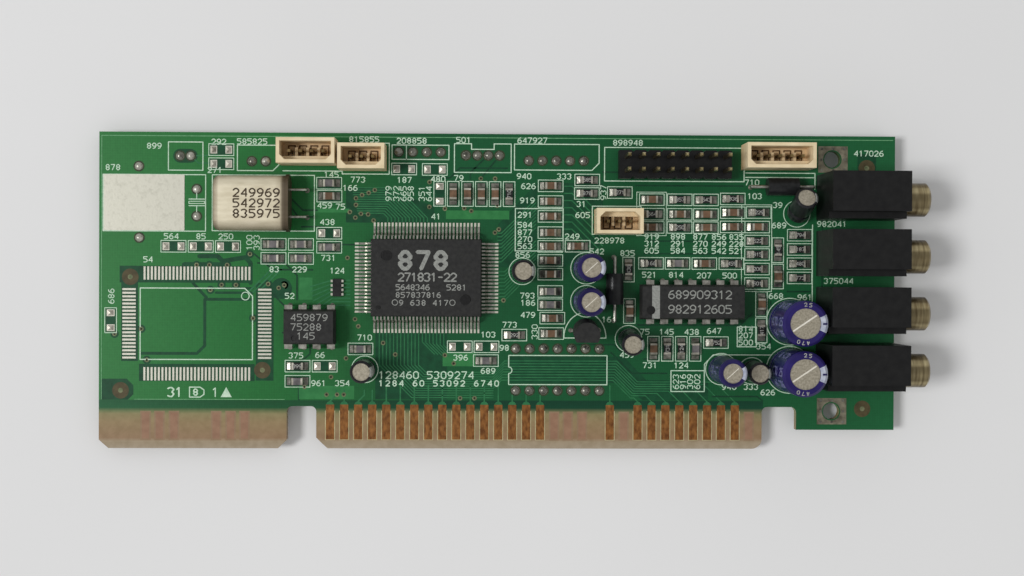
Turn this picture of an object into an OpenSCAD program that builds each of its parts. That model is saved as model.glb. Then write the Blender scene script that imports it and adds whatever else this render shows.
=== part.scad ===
// Full-size sound expansion card for a desktop computer, lying component side up.
// Millimetres. X runs along the connector edge, Y runs away from it, Z is up.
// Origin: centre of the footprint, at the tips of the trimmed leads under the board.

/* [Board] */
// Length of the laminate along the connector edge
board_l = 144.5; // [144:0.1:146]
// Width of the laminate, connector tabs included
board_w = 57.2; // [57:0.1:60]
// Thickness of the laminate
board_t = 1.6; // [1.4:0.1:1.8]
// Height of the connector tabs below the main lower edge
tab_h = 7.7; // [7.4:0.1:8]
// Length of the short connector tab at the left
short_tab_l = 33.8; // [33:0.1:34.5]
// Width of the key notch between the two tabs
key_notch_w = 5.35; // [5:0.05:5.6]
// Length of the long connector tab
long_tab_l = 81.1; // [80.5:0.1:81.5]
// Width of the gap right of the long tab
right_gap_w = 6.3; // [6:0.1:6.6]
// Height that the right lower tab stops short of the connector edge
right_tab_rise = 3.55; // [3:0.05:4.5]
// Corner chamfer of the short tab
short_tab_chamfer = 1.6; // [1:0.1:2]
// Left corner chamfer of the long tab
long_tab_chamfer = 2; // [1:0.1:2.4]
// Right corner radius of the long tab
long_tab_round = 1.8; // [1:0.1:2]
// Radius in the top corners of notch and gap
notch_round = 1; // [0.5:0.1:1.5]
// Length of the lead-in bevel on the connector edge
bevel_l = 1.2; // [0.8:0.1:1.5]
// Depth of the lead-in bevel on each face
bevel_d = 0.45; // [0.2:0.05:0.6]

/* [Edge contacts] */
// Spacing of the edge contacts
contact_pitch = 2.54; // [2.5:0.01:2.54]
// Width of one edge contact
contact_w = 1.5; // [1.2:0.1:1.8]
// Lower end of the contacts above the connector edge
contact_y0 = 1.67; // [1.5:0.01:2]
// Upper end of the contacts above the connector edge
contact_y1 = 8; // [7:0.1:8.2]
// Thickness of the contact plating and of the tinned pads
pad_t = 0.05; // [0.04:0.01:0.08]

/* [Bracket fixing] */
// Diameter of the two bracket holes
bracket_hole_d = 3; // [2.8:0.1:3.4]
// Distance between the two bracket holes
bracket_hole_gap = 46; // [45.5:0.1:46.5]
// Length of a tinned pad around a bracket hole
bracket_pad_l = 5.4; // [4.5:0.1:5.6]
// Width of a tinned pad around a bracket hole
bracket_pad_w = 4.8; // [4.5:0.1:5]

/* [Sound chip] */
// Length of the sound chip body
sound_l = 20; // [19:0.1:20.5]
// Width of the sound chip body
sound_w = 14; // [13.5:0.1:14.5]
// Thickness of the sound chip body
sound_h = 2.7; // [2.4:0.1:3]
// Spacing of the sound chip leads
sound_pitch = 0.65; // [0.6:0.01:0.65]
// Width of one sound chip lead
sound_lead_w = 0.3; // [0.2:0.02:0.36]
// Reach of the leads beyond the body
sound_lead_reach = 2.3; // [2:0.1:2.6]

/* [Dual in-line chips] */
// Width of the chip bodies
dip_w = 6.3; // [6:0.1:6.6]
// Thickness of the chip bodies
dip_h = 3.3; // [3:0.1:3.5]
// Gap between chip bodies and board
dip_standoff = 0.5; // [0.4:0.1:0.8]
// Spacing of the leads
dip_pitch = 2.54; // [2.5:0.01:2.54]
// Distance between the two rows of leads
dip_row_gap = 7.62; // [7.5:0.01:7.7]
// Length of the memory chip body
memory_l = 9.4; // [9.2:0.1:9.8]
// Length of the amplifier chip body
amplifier_l = 19.1; // [18.6:0.1:19.4]

/* [Crystal] */
// Length of the crystal can
crystal_l = 12.9; // [12:0.1:13.2]
// Width of the crystal can
crystal_w = 9.9; // [9.6:0.1:10.2]
// Height of the crystal can
crystal_h = 4.1; // [3.8:0.1:4.2]
// Thickness of the crystal base flange
crystal_flange_t = 0.6; // [0.5:0.1:0.8]
// Distance between the crystal leads
crystal_lead_gap = 4.88; // [4.8:0.02:5]

/* [Plug headers] */
// Spacing of the header pins
header_pitch = 2; // [1.9:0.05:2.1]
// Depth of the header shells
header_w = 4.5; // [4.3:0.1:4.6]
// Height of the header shells
header_h = 6; // [5.5:0.1:6.5]
// Wall thickness of the header shells
header_wall = 0.6; // [0.5:0.05:0.7]
// Floor thickness of the header shells
header_floor = 1.2; // [1:0.1:1.5]
// Side of a square header pin
header_pin = 0.5; // [0.45:0.05:0.6]
// Height of the header pins above the board
header_pin_h = 4.9; // [4.5:0.1:5.2]
// Extra shell length beyond the pin spacing
header_end = 4.3; // [4:0.1:4.4]

/* [Jumper block] */
// Spacing of the jumper pins
jumper_pitch = 2.54; // [2.5:0.01:2.54]
// Number of pin columns
jumper_columns = 8; // [4:1:8]
// Side of a square jumper pin
jumper_pin = 0.64; // [0.6:0.01:0.66]
// Height of the plastic strip
jumper_base_h = 2.54; // [2.3:0.01:2.6]
// Height of the pins above the board
jumper_pin_h = 8.5; // [8:0.1:9]

/* [Jacks] */
// Distance between neighbouring jacks
jack_pitch = 10.16; // [10:0.02:10.2]
// Length of a jack housing
jack_l = 13.8; // [13.5:0.1:14.2]
// Width of a jack housing, ledge included
jack_w = 8.2; // [8:0.1:8.4]
// Height of a jack housing
jack_h = 11.3; // [11:0.1:11.6]
// Width of the low ledge along one side
jack_ledge_w = 1.2; // [1:0.1:1.3]
// Height of the low ledge
jack_ledge_h = 8.6; // [8:0.1:9.5]
// Height of the socket axis above the board
jack_axis_h = 5.5; // [5.3:0.1:5.8]
// Offset of the housing centre from the socket axis
jack_offset = 0.6; // [0.5:0.1:0.7]
// Outer diameter of the socket bushing
bushing_d = 6; // [5.8:0.1:6.2]
// Length of the bushing in front of the housing
bushing_l = 4.5; // [4:0.1:5.5]
// Bore of the socket
bushing_bore_d = 3.6; // [3.56:0.01:3.65]

/* [Electrolytic capacitors] */
// Diameter of the large capacitors
large_cap_d = 8; // [7.8:0.1:8]
// Height of the large capacitors
large_cap_h = 11.5; // [11:0.1:12]
// Diameter of the medium capacitors
medium_cap_d = 5; // [4.8:0.1:5.1]
// Height of the medium capacitors
medium_cap_h = 11; // [10:0.1:11.5]
// Diameter of the small capacitors
small_cap_d = 4; // [3.9:0.1:4.1]
// Height of the small capacitors
small_cap_h = 7; // [6.5:0.1:7.2]
// Thickness of the printed sleeves
sleeve_t = 0.15; // [0.1:0.01:0.2]

/* [Other leaded parts] */
// Diameter of the ferrite beads
bead_d = 3.2; // [3:0.1:3.4]
// Length of the ferrite beads
bead_l = 5.6; // [5:0.1:5.8]
// Diameter of the wire through the beads
bead_wire_d = 0.6; // [0.5:0.05:0.7]
// Diameter of the round regulator body
regulator_d = 4.6; // [4.4:0.1:4.8]
// Depth of the regulator body, flat to back
regulator_w = 3.6; // [3.4:0.1:3.8]
// Height of the regulator body
regulator_h = 4.7; // [4.4:0.1:5]
// Lean of the regulator body in degrees
regulator_lean = 8; // [0:1:10]

/* [Chip parts] */
// Length of a chip part, end caps included
chip_l = 2; // [1.9:0.05:2.1]
// Width of a chip part
chip_w = 1.25; // [1.2:0.05:1.3]
// Height of a chip resistor
chip_resistor_h = 0.5; // [0.4:0.05:0.6]
// Height of a chip capacitor
chip_capacitor_h = 0.85; // [0.7:0.05:1]
// Length of an end cap
chip_cap_l = 0.35; // [0.3:0.05:0.45]
// Length of a pad under a chip part
chip_pad_l = 1.2; // [1.1:0.05:1.3]
// Width of a pad under a chip part
chip_pad_w = 1.4; // [1.3:0.05:1.5]
// Length over both pads of a chip part
chip_pad_span = 3.9; // [3.7:0.05:4]

/* [Soldering] */
// Length of the trimmed leads below the board
lead_tail = 1.4; // [1.2:0.1:1.6]
// Radius of a solder joint at the board
joint_r = 0.85; // [0.8:0.05:0.9]
// Height of a solder joint below the board
joint_h = 0.8; // [0.6:0.05:1]

/* [Hidden] */
$fn = 32;

// The jacks start at this X and their bushings reach past the board's right edge.
jack_x = board_l - 14.4;
overall_l = jack_x + jack_l + bushing_l;
long_tab_x = short_tab_l + key_notch_w;
right_tab_x = long_tab_x + long_tab_l + right_gap_w;

// Edge contacts, counted in pitches from the centre of the first one on the long tab.
first_contact_x = 41.65;
front_contacts = [for (i = [0:29]) if (i < 16 || i == 20 || i > 21) i];
back_contacts = [for (i = [0:30]) if (i != 19) i];
short_tab_contacts = [-13.1, -12.1, -11.1, -8.1, -7.1, -6.1];

bracket_x = board_l - 11.52;
bracket_y = 6.95;
bracket_pad_shift = 0.1;
bracket_pad_clear = 0.4;

// Sound chip and the empty land pattern of a second one.
sound_at = [59.04, 31.03];
sound_columns = 30;
sound_rows = 20;
sound_z = pad_t + 0.1;
sound_draft = 0.2;
sound_lead_t = 0.16;
sound_exit_z = sound_z + sound_h / 2;
lead_bend = 0.6;
lead_foot = 1.05;
lead_heel = 0.15;
land_l = 2.4;
land_w = 0.35;
land_toe = 0.7;
spare_at = [17.6, 22.6];
spare_reach = [11.0, 7.9];

// Dual in-line chips and the empty place of another.
dip_lead_t = 0.25;
dip_lead_w = 0.5;
dip_shoulder_w = 1.4;
dip_shoulder_z = dip_standoff + 0.1;
dip_exit_z = dip_standoff + dip_h / 2 - dip_lead_t / 2;
dip_draft = 0.35;
memory_at = [38.21, 22.15];
memory_columns = 4;
amplifier_at = [107.07, 26.85];
amplifier_columns = 7;
spare_dip_at = [82.88, 14.42];

crystal_at = [21.1, 44.3];
crystal_flange = 0.4;
crystal_z = (crystal_h + crystal_flange) / 2;
crystal_lead_d = 0.45;
crystal_lead_x = 37.4;

// Shrouded headers: centre, number of pins, turn in degrees.
header_4way = [37.8, board_w - 3.7, 4, 0];
header_5way = [122.4, board_w - 4.05, 5, 0];
header_3way_top = [47.6, board_w - 4.6, 3, 0];
header_3way_mid = [93.6, 41.3, 3, 180];
header_corner = 0.9;
header_comb_h = 3.6;
header_comb_w = 0.8;
header_rib_w = 0.5;
header_rib_l = 1.6;
header_rib_h = 1.5;

jumper_at = [103.89, board_w - 5.52];
jumper_nick = 0.5;
jumper_tip = 0.5;

// Jacks, first one at the top; their five flat pins in the housing's own frame.
jack_top_y = 45.3;
jack_ys = [for (k = [0:3]) jack_top_y - k * jack_pitch];
jack_wall = 1.2;
jack_chamber_d = 5.4;
shank_d = 5;
shank_l = 2;
bushing_chamfer = 0.4;
blade_t = 0.3;
blade_w = 1.2;
blade_gap = 0.15;
leaf_h = 1.6;
leaf_y = 2.25;
leaf_x = [2.4, 10.4];
tip_leg_x = 3.4;
ring_leg_x = 8.4;
switch_leg_x = [6, 10.6];
switch_y = 3.4;
sleeve_leg_x = jack_l - 1.3;
jack_hole_d = 1.5;
jack_pins = [[sleeve_leg_x, 0], [tip_leg_x, leaf_y], [ring_leg_x, -leaf_y],
    [switch_leg_x[0], switch_y], [switch_leg_x[1], switch_y]];

// Electrolytic capacitors: x, y, turn of the lead pair, lean, height of the bend in the leads.
large_caps = [[125.3, 23.3, 0, 0, 0], [125.3, 14.5, 0, 0, 0]];
medium_caps = [[88.1, 32.9, 0, 0, 0], [88.1, 26.9, 0, 0, 0], [112.8, 14.6, 0, 0, 0]];
small_caps = [[76.4, 32.3, 0, 0, 0], [47.9, 14.4, 0, 0, 0], [95.8, 20.1, 0, 6, 0.3],
    [118.4, 14.3, 0, 0, 0], [126.5, 43, 0, -20, 0.6]];
large_lead_gap = 3.5;
medium_lead_gap = 2;
small_lead_gap = 1.5;
cap_lead_d = 0.5;
cap_bend_d = 0.58;
cap_stand = 0.3;
groove_z = 1.9;
groove_d = 0.3;
bung_h = 1.2;
rim_share = 0.06;
can_lift = 0.1;
groove_half = 0.4;
large_top_d = 5.35;
medium_top_d = 3.45;
small_top_d = 3.1;

bead_wire_1 = [[118, 47.8], [129, 47.8]];
bead_wire_2 = [[93.1, 34.9], [93.1, 23.4]];

regulator_at = [87.8, 21.6];
regulator_pitch = 1.27;
regulator_spread = 2.54;
regulator_z = 2;
regulator_lead = 0.45;

network_at = [42.9, 29.2];
network_l = 3.2;
network_w = 1.6;
network_h = 0.5;
network_pitch = 0.8;
network_end_l = 0.35;
network_end_w = 0.45;

// Chip parts: x, y, 1 when the part stands along Y.
chip_resistors = [[35.75, 14.95, 0], [75, 20.7, 0], [88.15, 48.95, 0], [88.1, 46.5, 0],
    [94.1, 46.7, 0], [99.95, 42.8, 0], [105.05, 45.45, 0], [105.05, 40.4, 0],
    [109.85, 45.45, 0], [114.75, 45.65, 0], [119.5, 43.2, 0], [119.25, 38, 0],
    [119.25, 35.55, 0], [119.25, 32.9, 0], [119.25, 30.25, 0], [127.05, 39.1, 0],
    [127.05, 36.5, 0], [127.05, 33.9, 0], [127.05, 31.3, 0], [99.85, 33.85, 0],
    [114.55, 33.85, 0], [111.8, 19.45, 0], [123.05, 36.35, 1], [95.75, 32.7, 1],
    [102.9, 18.3, 1], [105.45, 18.3, 1], [120.1, 21.7, 1], [73.95, 46.3, 1]];
chip_capacitors = [[41.4, 45.75, 0], [81.5, 47.85, 0], [81.5, 45, 0], [81.5, 42.3, 0],
    [81.5, 39.35, 0], [81.5, 36.85, 0], [81.5, 34.3, 0], [81.5, 31.8, 0], [81.9, 23.8, 0],
    [81.7, 21, 0], [86.45, 36.9, 0], [99.95, 45.45, 0], [99.95, 40.4, 0], [105.05, 42.8, 0],
    [109.85, 42.8, 0], [109.85, 40.4, 0], [114.75, 43.15, 0], [114.75, 40.55, 0],
    [119.25, 40.55, 0], [109.6, 33.85, 0], [63.8, 46.3, 1], [66.4, 46.3, 1],
    [68.9, 46.3, 1], [71.4, 46.3, 1], [123.05, 31.55, 1], [95.95, 25.15, 1],
    [100.35, 18.3, 1], [120.1, 26.5, 1]];
chip_inductors = [[31.35, 37, 0], [31.35, 34.45, 0], [36.3, 37, 0], [36.3, 34.45, 0],
    [41.35, 48.1, 0], [41.4, 36.5, 0], [35.75, 12.2, 0], [47.1, 18.1, 0], [69.85, 16.05, 0],
    [81.5, 28.65, 0], [81.5, 26.25, 0], [104.7, 33.85, 0], [108, 18.3, 1]];
empty_chips = [[21.9, 54.05, 0], [21.9, 51.5, 0], [13.35, 36.55, 0], [18.25, 36.55, 0],
    [23.15, 36.55, 0], [41.4, 39.05, 0], [40.65, 14.95, 0], [54.9, 50.75, 0],
    [60.45, 50.7, 0], [65.1, 18.55, 0], [69.95, 18.55, 0], [2.1, 23.15, 1], [61.35, 46.3, 1]];

// Holes that carry no part, filled with solder.
spare_crystal_pad = [0.8, 39.4, 14.5, 10.1];
filled_holes = concat([[14.5, 52.9], [16.4, 52.9], [27.4, 52], [29.9, 52], [17.5, 46.9],
    [17.5, 42], [7.1, 51], [7.2, 38.1]], [for (k = [0:3]) [53.9 + 2.54 * k, 53.85]],
    [for (k = [0:4]) [77.5 + 2.5 * k, 52.4]], [for (k = [0:3]) [66.1 + 2.03 * k, 53.3]],
    [for (k = [0:6], s = [-1, 1]) spare_dip_at + [(k - 3) * dip_pitch, s * dip_row_gap / 2]]);
filled_hole_d = 0.9;
filled_pad_r = 0.7;
dome_h = 0.35;
dome_fall = 0.07;

// Lead positions of every part that passes through the board.
function header_pins_at(h) =
    [for (k = [0:h[2] - 1]) [h[0] + (k - (h[2] - 1) / 2) * header_pitch, h[1]]];
function dip_pins_at(at, columns) = [for (k = [0:columns - 1], s = [-1, 1])
    at + [(k - (columns - 1) / 2) * dip_pitch, s * dip_row_gap / 2]];
function cap_pins_at(caps, gap) = [for (c = caps, s = [-1, 1])
    [c[0] + s * gap / 2 * cos(c[2]), c[1] + s * gap / 2 * sin(c[2])]];
header_pins = concat(header_pins_at(header_4way), header_pins_at(header_5way),
    header_pins_at(header_3way_top), header_pins_at(header_3way_mid));
jumper_pins = [for (k = [0:jumper_columns - 1], s = [-1, 1])
    jumper_at + [(k - (jumper_columns - 1) / 2) * jumper_pitch, s * jumper_pitch / 2]];
dip_pins = concat(dip_pins_at(memory_at, memory_columns),
    dip_pins_at(amplifier_at, amplifier_columns));
cap_pins = concat(cap_pins_at(large_caps, large_lead_gap),
    cap_pins_at(medium_caps, medium_lead_gap), cap_pins_at(small_caps, small_lead_gap));
crystal_pins = [for (s = [-1, 1]) [crystal_lead_x, crystal_at[1] + s * crystal_lead_gap / 2]];
bead_pins = concat(bead_wire_1, bead_wire_2);
regulator_pins = [for (k = [-1:1]) regulator_at + [k * regulator_spread, 0]];
all_jack_pins = [for (y = jack_ys, p = jack_pins) [jack_x + p[0], y + p[1]]];
bracket_holes = [[bracket_x, bracket_y], [bracket_x, bracket_y + bracket_hole_gap]];
lead_hole_d = 0.9;
jumper_hole_d = 1;
round_lead_tip_r = 0.4;
square_lead_tip_r = 0.45;
joint_neck = 0.12;
fillet_inset = 0.1;
fillet_knee = 0.3;
fillet_knee_share = 0.35;
fillet_share = 0.8;

// Moves board coordinates (left edge, connector edge, top face) to the card's own origin.
module on_card() {
    translate([-overall_l / 2, -board_w / 2, lead_tail + board_t]) children();
}

// Places a copy at every point of a list.
module at_each(points) {
    for (p = points) translate([p[0], p[1], 0]) children();
}

// Box centred in X and Y, standing on z0.
module block(l, w, h, z0 = 0) {
    translate([-l / 2, -w / 2, z0]) cube([l, w, h]);
}

// Moulded body with drafted sides: two crossed prisms with six-sided sections.
module moulded(l, w, h, z0, draft) {
    intersection() {
        rotate([90, 0, 0]) linear_extrude(w + 1, center = true) drafted(l, h, z0, draft);
        rotate([90, 0, 90]) linear_extrude(l + 1, center = true) drafted(w, h, z0, draft);
    }
}

// Six-sided section of a moulded body.
module drafted(l, h, z0, draft) {
    polygon([[-l / 2 + draft, z0], [l / 2 - draft, z0], [l / 2, z0 + h / 2],
        [l / 2 - draft, z0 + h], [-l / 2 + draft, z0 + h], [-l / 2, z0 + h / 2]]);
}

// Outline of the laminate.
module board_outline() {
    difference() {
        union() {
            polygon([[0, short_tab_chamfer], [short_tab_chamfer, 0],
                [short_tab_l - short_tab_chamfer, 0], [short_tab_l, short_tab_chamfer],
                [short_tab_l, tab_h / 2], [long_tab_x, tab_h / 2],
                [long_tab_x, long_tab_chamfer], [long_tab_x + long_tab_chamfer, 0],
                [long_tab_x + long_tab_l - long_tab_round, 0],
                [long_tab_x + long_tab_l, long_tab_round],
                [long_tab_x + long_tab_l, tab_h / 2 + 1], [right_tab_x, tab_h / 2 + 1],
                [right_tab_x, right_tab_rise], [board_l, right_tab_rise],
                [board_l, board_w], [0, board_w]]);
            translate([long_tab_x + long_tab_l - long_tab_round, long_tab_round])
                circle(long_tab_round);
        }
        slot_outline(short_tab_l, key_notch_w);
        slot_outline(long_tab_x + long_tab_l, right_gap_w);
    }
}

// Slot with rounded top corners between two tabs.
module slot_outline(x, w) {
    translate([x, 0]) {
        translate([0, -1]) square([w, tab_h - notch_round + 1]);
        translate([notch_round, 0]) square([w - 2 * notch_round, tab_h]);
        for (cx = [notch_round, w - notch_round])
            translate([cx, tab_h - notch_round]) circle(notch_round);
    }
}

module circuit_board() {
    color([0.13, 0.42, 0.26]) on_card() difference() {
        translate([0, 0, -board_t]) linear_extrude(board_t) board_outline();
        // Lead-in bevel on both faces of the connector edge
        translate([-1, 0, 0]) rotate([90, 0, 90]) linear_extrude(board_l + 2) {
            polygon([[-1, 1], [-1, -bevel_d], [0, -bevel_d], [bevel_l, 0], [bevel_l, 1]]);
            polygon([[-1, -board_t - 1], [bevel_l, -board_t - 1], [bevel_l, -board_t],
                [0, -board_t + bevel_d], [-1, -board_t + bevel_d]]);
        }
        drill(bracket_holes, bracket_hole_d);
        drill(concat(header_pins, dip_pins, cap_pins, crystal_pins, bead_pins,
            regulator_pins), lead_hole_d);
        drill(jumper_pins, jumper_hole_d);
        drill(filled_holes, filled_hole_d);
        drill(all_jack_pins, jack_hole_d);
    }
}

// Holes through the laminate.
module drill(points, d) {
    at_each(points) translate([0, 0, -board_t - 1]) cylinder(d = d, h = board_t + 2);
}

// One plated contact strip.
module contact(z) {
    translate([-contact_w / 2, contact_y0, z]) cube([contact_w, contact_y1 - contact_y0, pad_t]);
}

module edge_contacts_front() {
    color([0.59, 0.33, 0.16]) on_card() for (i = front_contacts)
        translate([first_contact_x + i * contact_pitch, 0, 0]) contact(0);
}

module edge_contacts_back() {
    color([0.59, 0.33, 0.16]) on_card() for (i = concat(back_contacts, short_tab_contacts))
        translate([first_contact_x + i * contact_pitch, 0, 0]) contact(-board_t - pad_t);
}

module bracket_pads() {
    color([0.78, 0.77, 0.72]) on_card() at_each(bracket_holes) difference() {
        translate([bracket_pad_shift, 0, 0]) block(bracket_pad_l, bracket_pad_w, pad_t);
        translate([0, 0, -1]) cylinder(d = bracket_hole_d + bracket_pad_clear, h = 2);
    }
}

// Rows of long thin pads around a four-sided chip, centred at distance reach from it.
module lands(reach) {
    for (s = [-1, 1]) {
        for (k = [0:sound_columns - 1])
            translate([(k - (sound_columns - 1) / 2) * sound_pitch, s * reach[1], 0])
                block(land_w, land_l, pad_t);
        for (k = [0:sound_rows - 1])
            translate([s * reach[0], (k - (sound_rows - 1) / 2) * sound_pitch, 0])
                block(land_l, land_w, pad_t);
    }
}

// Places the two pads of a chip part, the part itself being at the origin.
module each_pad() {
    for (s = [0, 180]) rotate([0, 0, s])
        translate([chip_pad_span / 2 - chip_pad_l / 2, 0, 0]) children();
}

// Hole filled with solder, domed on both faces.
module filled_hole() {
    rotate_extrude() polygon([[0, dome_h], [filled_pad_r / 2, dome_h - dome_fall],
        [filled_pad_r, pad_t], [filled_pad_r, 0], [filled_hole_d / 2, 0],
        [filled_hole_d / 2, -board_t], [filled_pad_r, -board_t],
        [filled_pad_r, -board_t - pad_t], [filled_pad_r / 2, -board_t - dome_h + dome_fall],
        [0, -board_t - dome_h]]);
}

module tinned_pads() {
    color([0.8, 0.8, 0.76]) on_card() {
        translate(sound_at) lands([sound_l / 2 + sound_lead_reach + land_toe - land_l / 2,
            sound_w / 2 + sound_lead_reach + land_toe - land_l / 2]);
        translate(spare_at) lands([spare_reach[0] + land_l / 2, spare_reach[1] + land_l / 2]);
        for (c = empty_chips) translate([c[0], c[1], 0]) rotate([0, 0, c[2] * 90])
            each_pad() block(chip_pad_l, chip_pad_w, pad_t);
        translate([spare_crystal_pad[0], spare_crystal_pad[1], 0])
            cube([spare_crystal_pad[2], spare_crystal_pad[3], pad_t]);
        at_each(filled_holes) filled_hole();
    }
}

// Solder around a lead: fills the hole and necks down below the board.
module joint(hole_d, tip_r) {
    rotate_extrude() polygon([[0, 0], [hole_d / 2, 0], [hole_d / 2, -board_t],
        [joint_r + (hole_d - lead_hole_d) / 4, -board_t],
        [tip_r + joint_neck, -board_t - joint_h / 2],
        [tip_r, -board_t - joint_h], [0, -board_t - joint_h]]);
}

// Solder around leads of rectangular section.
module square_joints(points, hole_d, l, w) {
    at_each(points) difference() {
        joint(hole_d, square_lead_tip_r);
        block(l, w, board_t + lead_tail + 1, -board_t - lead_tail);
    }
}

// Solder around round leads.
module round_joints(points, d) {
    at_each(points) difference() {
        joint(lead_hole_d, round_lead_tip_r);
        translate([0, 0, -board_t - lead_tail]) cylinder(d = d, h = board_t + lead_tail + 1);
    }
}

// Pads of a fitted chip part with the solder climbing its end caps.
module chip_joint(h) {
    each_pad() block(chip_pad_l, chip_pad_w, pad_t);
    for (s = [0, 180]) rotate([0, 0, s]) rotate([90, 0, 0])
        linear_extrude(chip_w, center = true)
            polygon([[chip_l / 2, pad_t], [chip_pad_span / 2 - fillet_inset, pad_t],
                [chip_l / 2 + fillet_knee, pad_t + h * fillet_knee_share],
                [chip_l / 2, pad_t + h * fillet_share]]);
}

// Places a copy at every chip part of a list.
module at_chips(list) {
    for (c = list) translate([c[0], c[1], 0]) rotate([0, 0, c[2] * 90]) children();
}

module solder_joints() {
    color([0.75, 0.75, 0.72]) on_card() {
        square_joints(header_pins, lead_hole_d, header_pin, header_pin);
        square_joints(jumper_pins, jumper_hole_d, jumper_pin, jumper_pin);
        square_joints(dip_pins, lead_hole_d, dip_lead_w, dip_lead_t);
        square_joints(regulator_pins, lead_hole_d, regulator_lead, regulator_lead);
        for (y = jack_ys) translate([jack_x, y, 0]) {
            square_joints([jack_pins[0]], jack_hole_d, blade_t, blade_w);
            square_joints([for (k = [1:4]) jack_pins[k]], jack_hole_d, blade_w, blade_t);
        }
        round_joints(cap_pins, cap_lead_d);
        round_joints(crystal_pins, crystal_lead_d);
        round_joints(bead_pins, bead_wire_d);
        at_chips(chip_resistors) chip_joint(chip_resistor_h);
        at_chips(concat(chip_capacitors, chip_inductors)) chip_joint(chip_capacitor_h);
    }
}

module sound_chip_body() {
    color([0.17, 0.17, 0.18]) on_card() translate(sound_at) difference() {
        moulded(sound_l, sound_w, sound_h, sound_z, sound_draft);
        for (p = [[-7.2, 4, 0.9], [7.2, -3.8, 0.9], [-8.5, -5.4, 0.45]])
            translate([p[0], p[1], sound_z + sound_h - 0.1]) cylinder(r = p[2], h = 1);
    }
}

// Gull-wing lead, leaving the body at the origin along +X.
module gull_wing() {
    t = sound_lead_t / 2;
    foot_x = sound_lead_reach - lead_foot;
    rotate([90, 0, 0]) linear_extrude(sound_lead_w, center = true)
        polygon([[0, sound_exit_z - t], [lead_bend - t / 2, sound_exit_z - t],
            [foot_x - lead_heel, pad_t], [sound_lead_reach, pad_t],
            [sound_lead_reach, pad_t + 2 * t], [foot_x - lead_heel + t, pad_t + 2 * t],
            [lead_bend + t / 2, sound_exit_z + t], [0, sound_exit_z + t]]);
}

module sound_chip_leads() {
    color([0.72, 0.72, 0.7]) on_card() translate(sound_at) for (s = [0, 180])
        rotate([0, 0, s]) {
            for (k = [0:sound_rows - 1])
                translate([sound_l / 2, (k - (sound_rows - 1) / 2) * sound_pitch, 0])
                    gull_wing();
            for (k = [0:sound_columns - 1])
                translate([(k - (sound_columns - 1) / 2) * sound_pitch, sound_w / 2, 0])
                    rotate([0, 0, 90]) gull_wing();
        }
}

// Body of a dual in-line chip with a dimple near its first lead.
module dip_body(l, dimple_r, dimple_y) {
    difference() {
        moulded(l, dip_w, dip_h, dip_standoff, dip_draft);
        translate([-l / 2 + 2.1, dimple_y, dip_standoff + dip_h - 0.15])
            cylinder(r = dimple_r, h = 1);
    }
}

// Leads of a dual in-line chip: a wide shoulder bent down to a narrow tail.
module dip_leads(columns) {
    for (k = [0:columns - 1], s = [0, 180]) rotate([0, 0, s])
        translate([(k - (columns - 1) / 2) * dip_pitch, 0, 0]) {
            translate([-dip_shoulder_w / 2, dip_w / 2, dip_exit_z]) cube([dip_shoulder_w,
                dip_row_gap / 2 + dip_lead_t / 2 - dip_w / 2, dip_lead_t]);
            translate([0, dip_row_gap / 2, 0]) {
                block(dip_shoulder_w, dip_lead_t, dip_exit_z - dip_shoulder_z + dip_lead_t,
                    dip_shoulder_z);
                block(dip_lead_w, dip_lead_t, board_t + lead_tail + dip_shoulder_z + 0.5,
                    -board_t - lead_tail);
            }
        }
}

module memory_chip_body() {
    color([0.16, 0.16, 0.17]) on_card() translate(memory_at) dip_body(memory_l, 0.5, -2);
}

module memory_chip_leads() {
    color([0.72, 0.72, 0.7]) on_card() translate(memory_at) dip_leads(memory_columns);
}

module amplifier_body() {
    color([0.16, 0.16, 0.17]) on_card() translate(amplifier_at)
        dip_body(amplifier_l, 0.85, -1.5);
}

module amplifier_leads() {
    color([0.72, 0.72, 0.7]) on_card() translate(amplifier_at) dip_leads(amplifier_columns);
}

// Flat section with round ends, in the YZ plane, extruded along X.
module oval_bar(w, h, l) {
    rotate([90, 0, 90]) linear_extrude(l) {
        square([w - h, h], center = true);
        for (s = [-1, 1]) translate([s * (w - h) / 2, 0]) circle(d = h);
    }
}

module crystal_can() {
    color([0.8, 0.77, 0.68]) on_card()
        translate([crystal_at[0], crystal_at[1], crystal_z]) {
            translate([0.8, 0, 0]) oval_bar(crystal_w, crystal_h, crystal_l - 0.8);
            hull() {
                translate([0.79, 0, 0]) oval_bar(crystal_w, crystal_h, 0.01);
                translate([0.25, 0, 0]) oval_bar(crystal_w - 0.5, crystal_h - 0.5, 0.01);
            }
            hull() {
                translate([0.25, 0, 0]) oval_bar(crystal_w - 0.5, crystal_h - 0.5, 0.01);
                oval_bar(crystal_w - 1.4, crystal_h - 1.4, 0.01);
            }
        }
}

module crystal_base() {
    color([0.74, 0.72, 0.65]) on_card()
        translate([crystal_at[0] + crystal_l, crystal_at[1], crystal_z])
            difference() {
                oval_bar(crystal_w + crystal_flange, crystal_h + crystal_flange,
                    crystal_flange_t);
                for (s = [-1, 1]) translate([-1, s * crystal_lead_gap / 2, 0])
                    rotate([0, 90, 0]) cylinder(d = crystal_lead_d, h = 3);
            }
}

module crystal_leads() {
    color([0.75, 0.74, 0.7]) on_card() for (p = crystal_pins)
        bent_wire(crystal_at[0] + crystal_l, p, crystal_z,
            crystal_lead_d);
}

// Wire lying along X at height z from x0 to the point p, then down through the board.
module bent_wire(x0, p, z, d) {
    translate([x0, p[1], z]) rotate([0, 90, 0]) cylinder(d = d, h = p[0] - x0);
    translate([p[0], p[1], z]) sphere(d = d);
    translate([p[0], p[1], -board_t - lead_tail]) cylinder(d = d, h = board_t + lead_tail + z);
}

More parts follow.
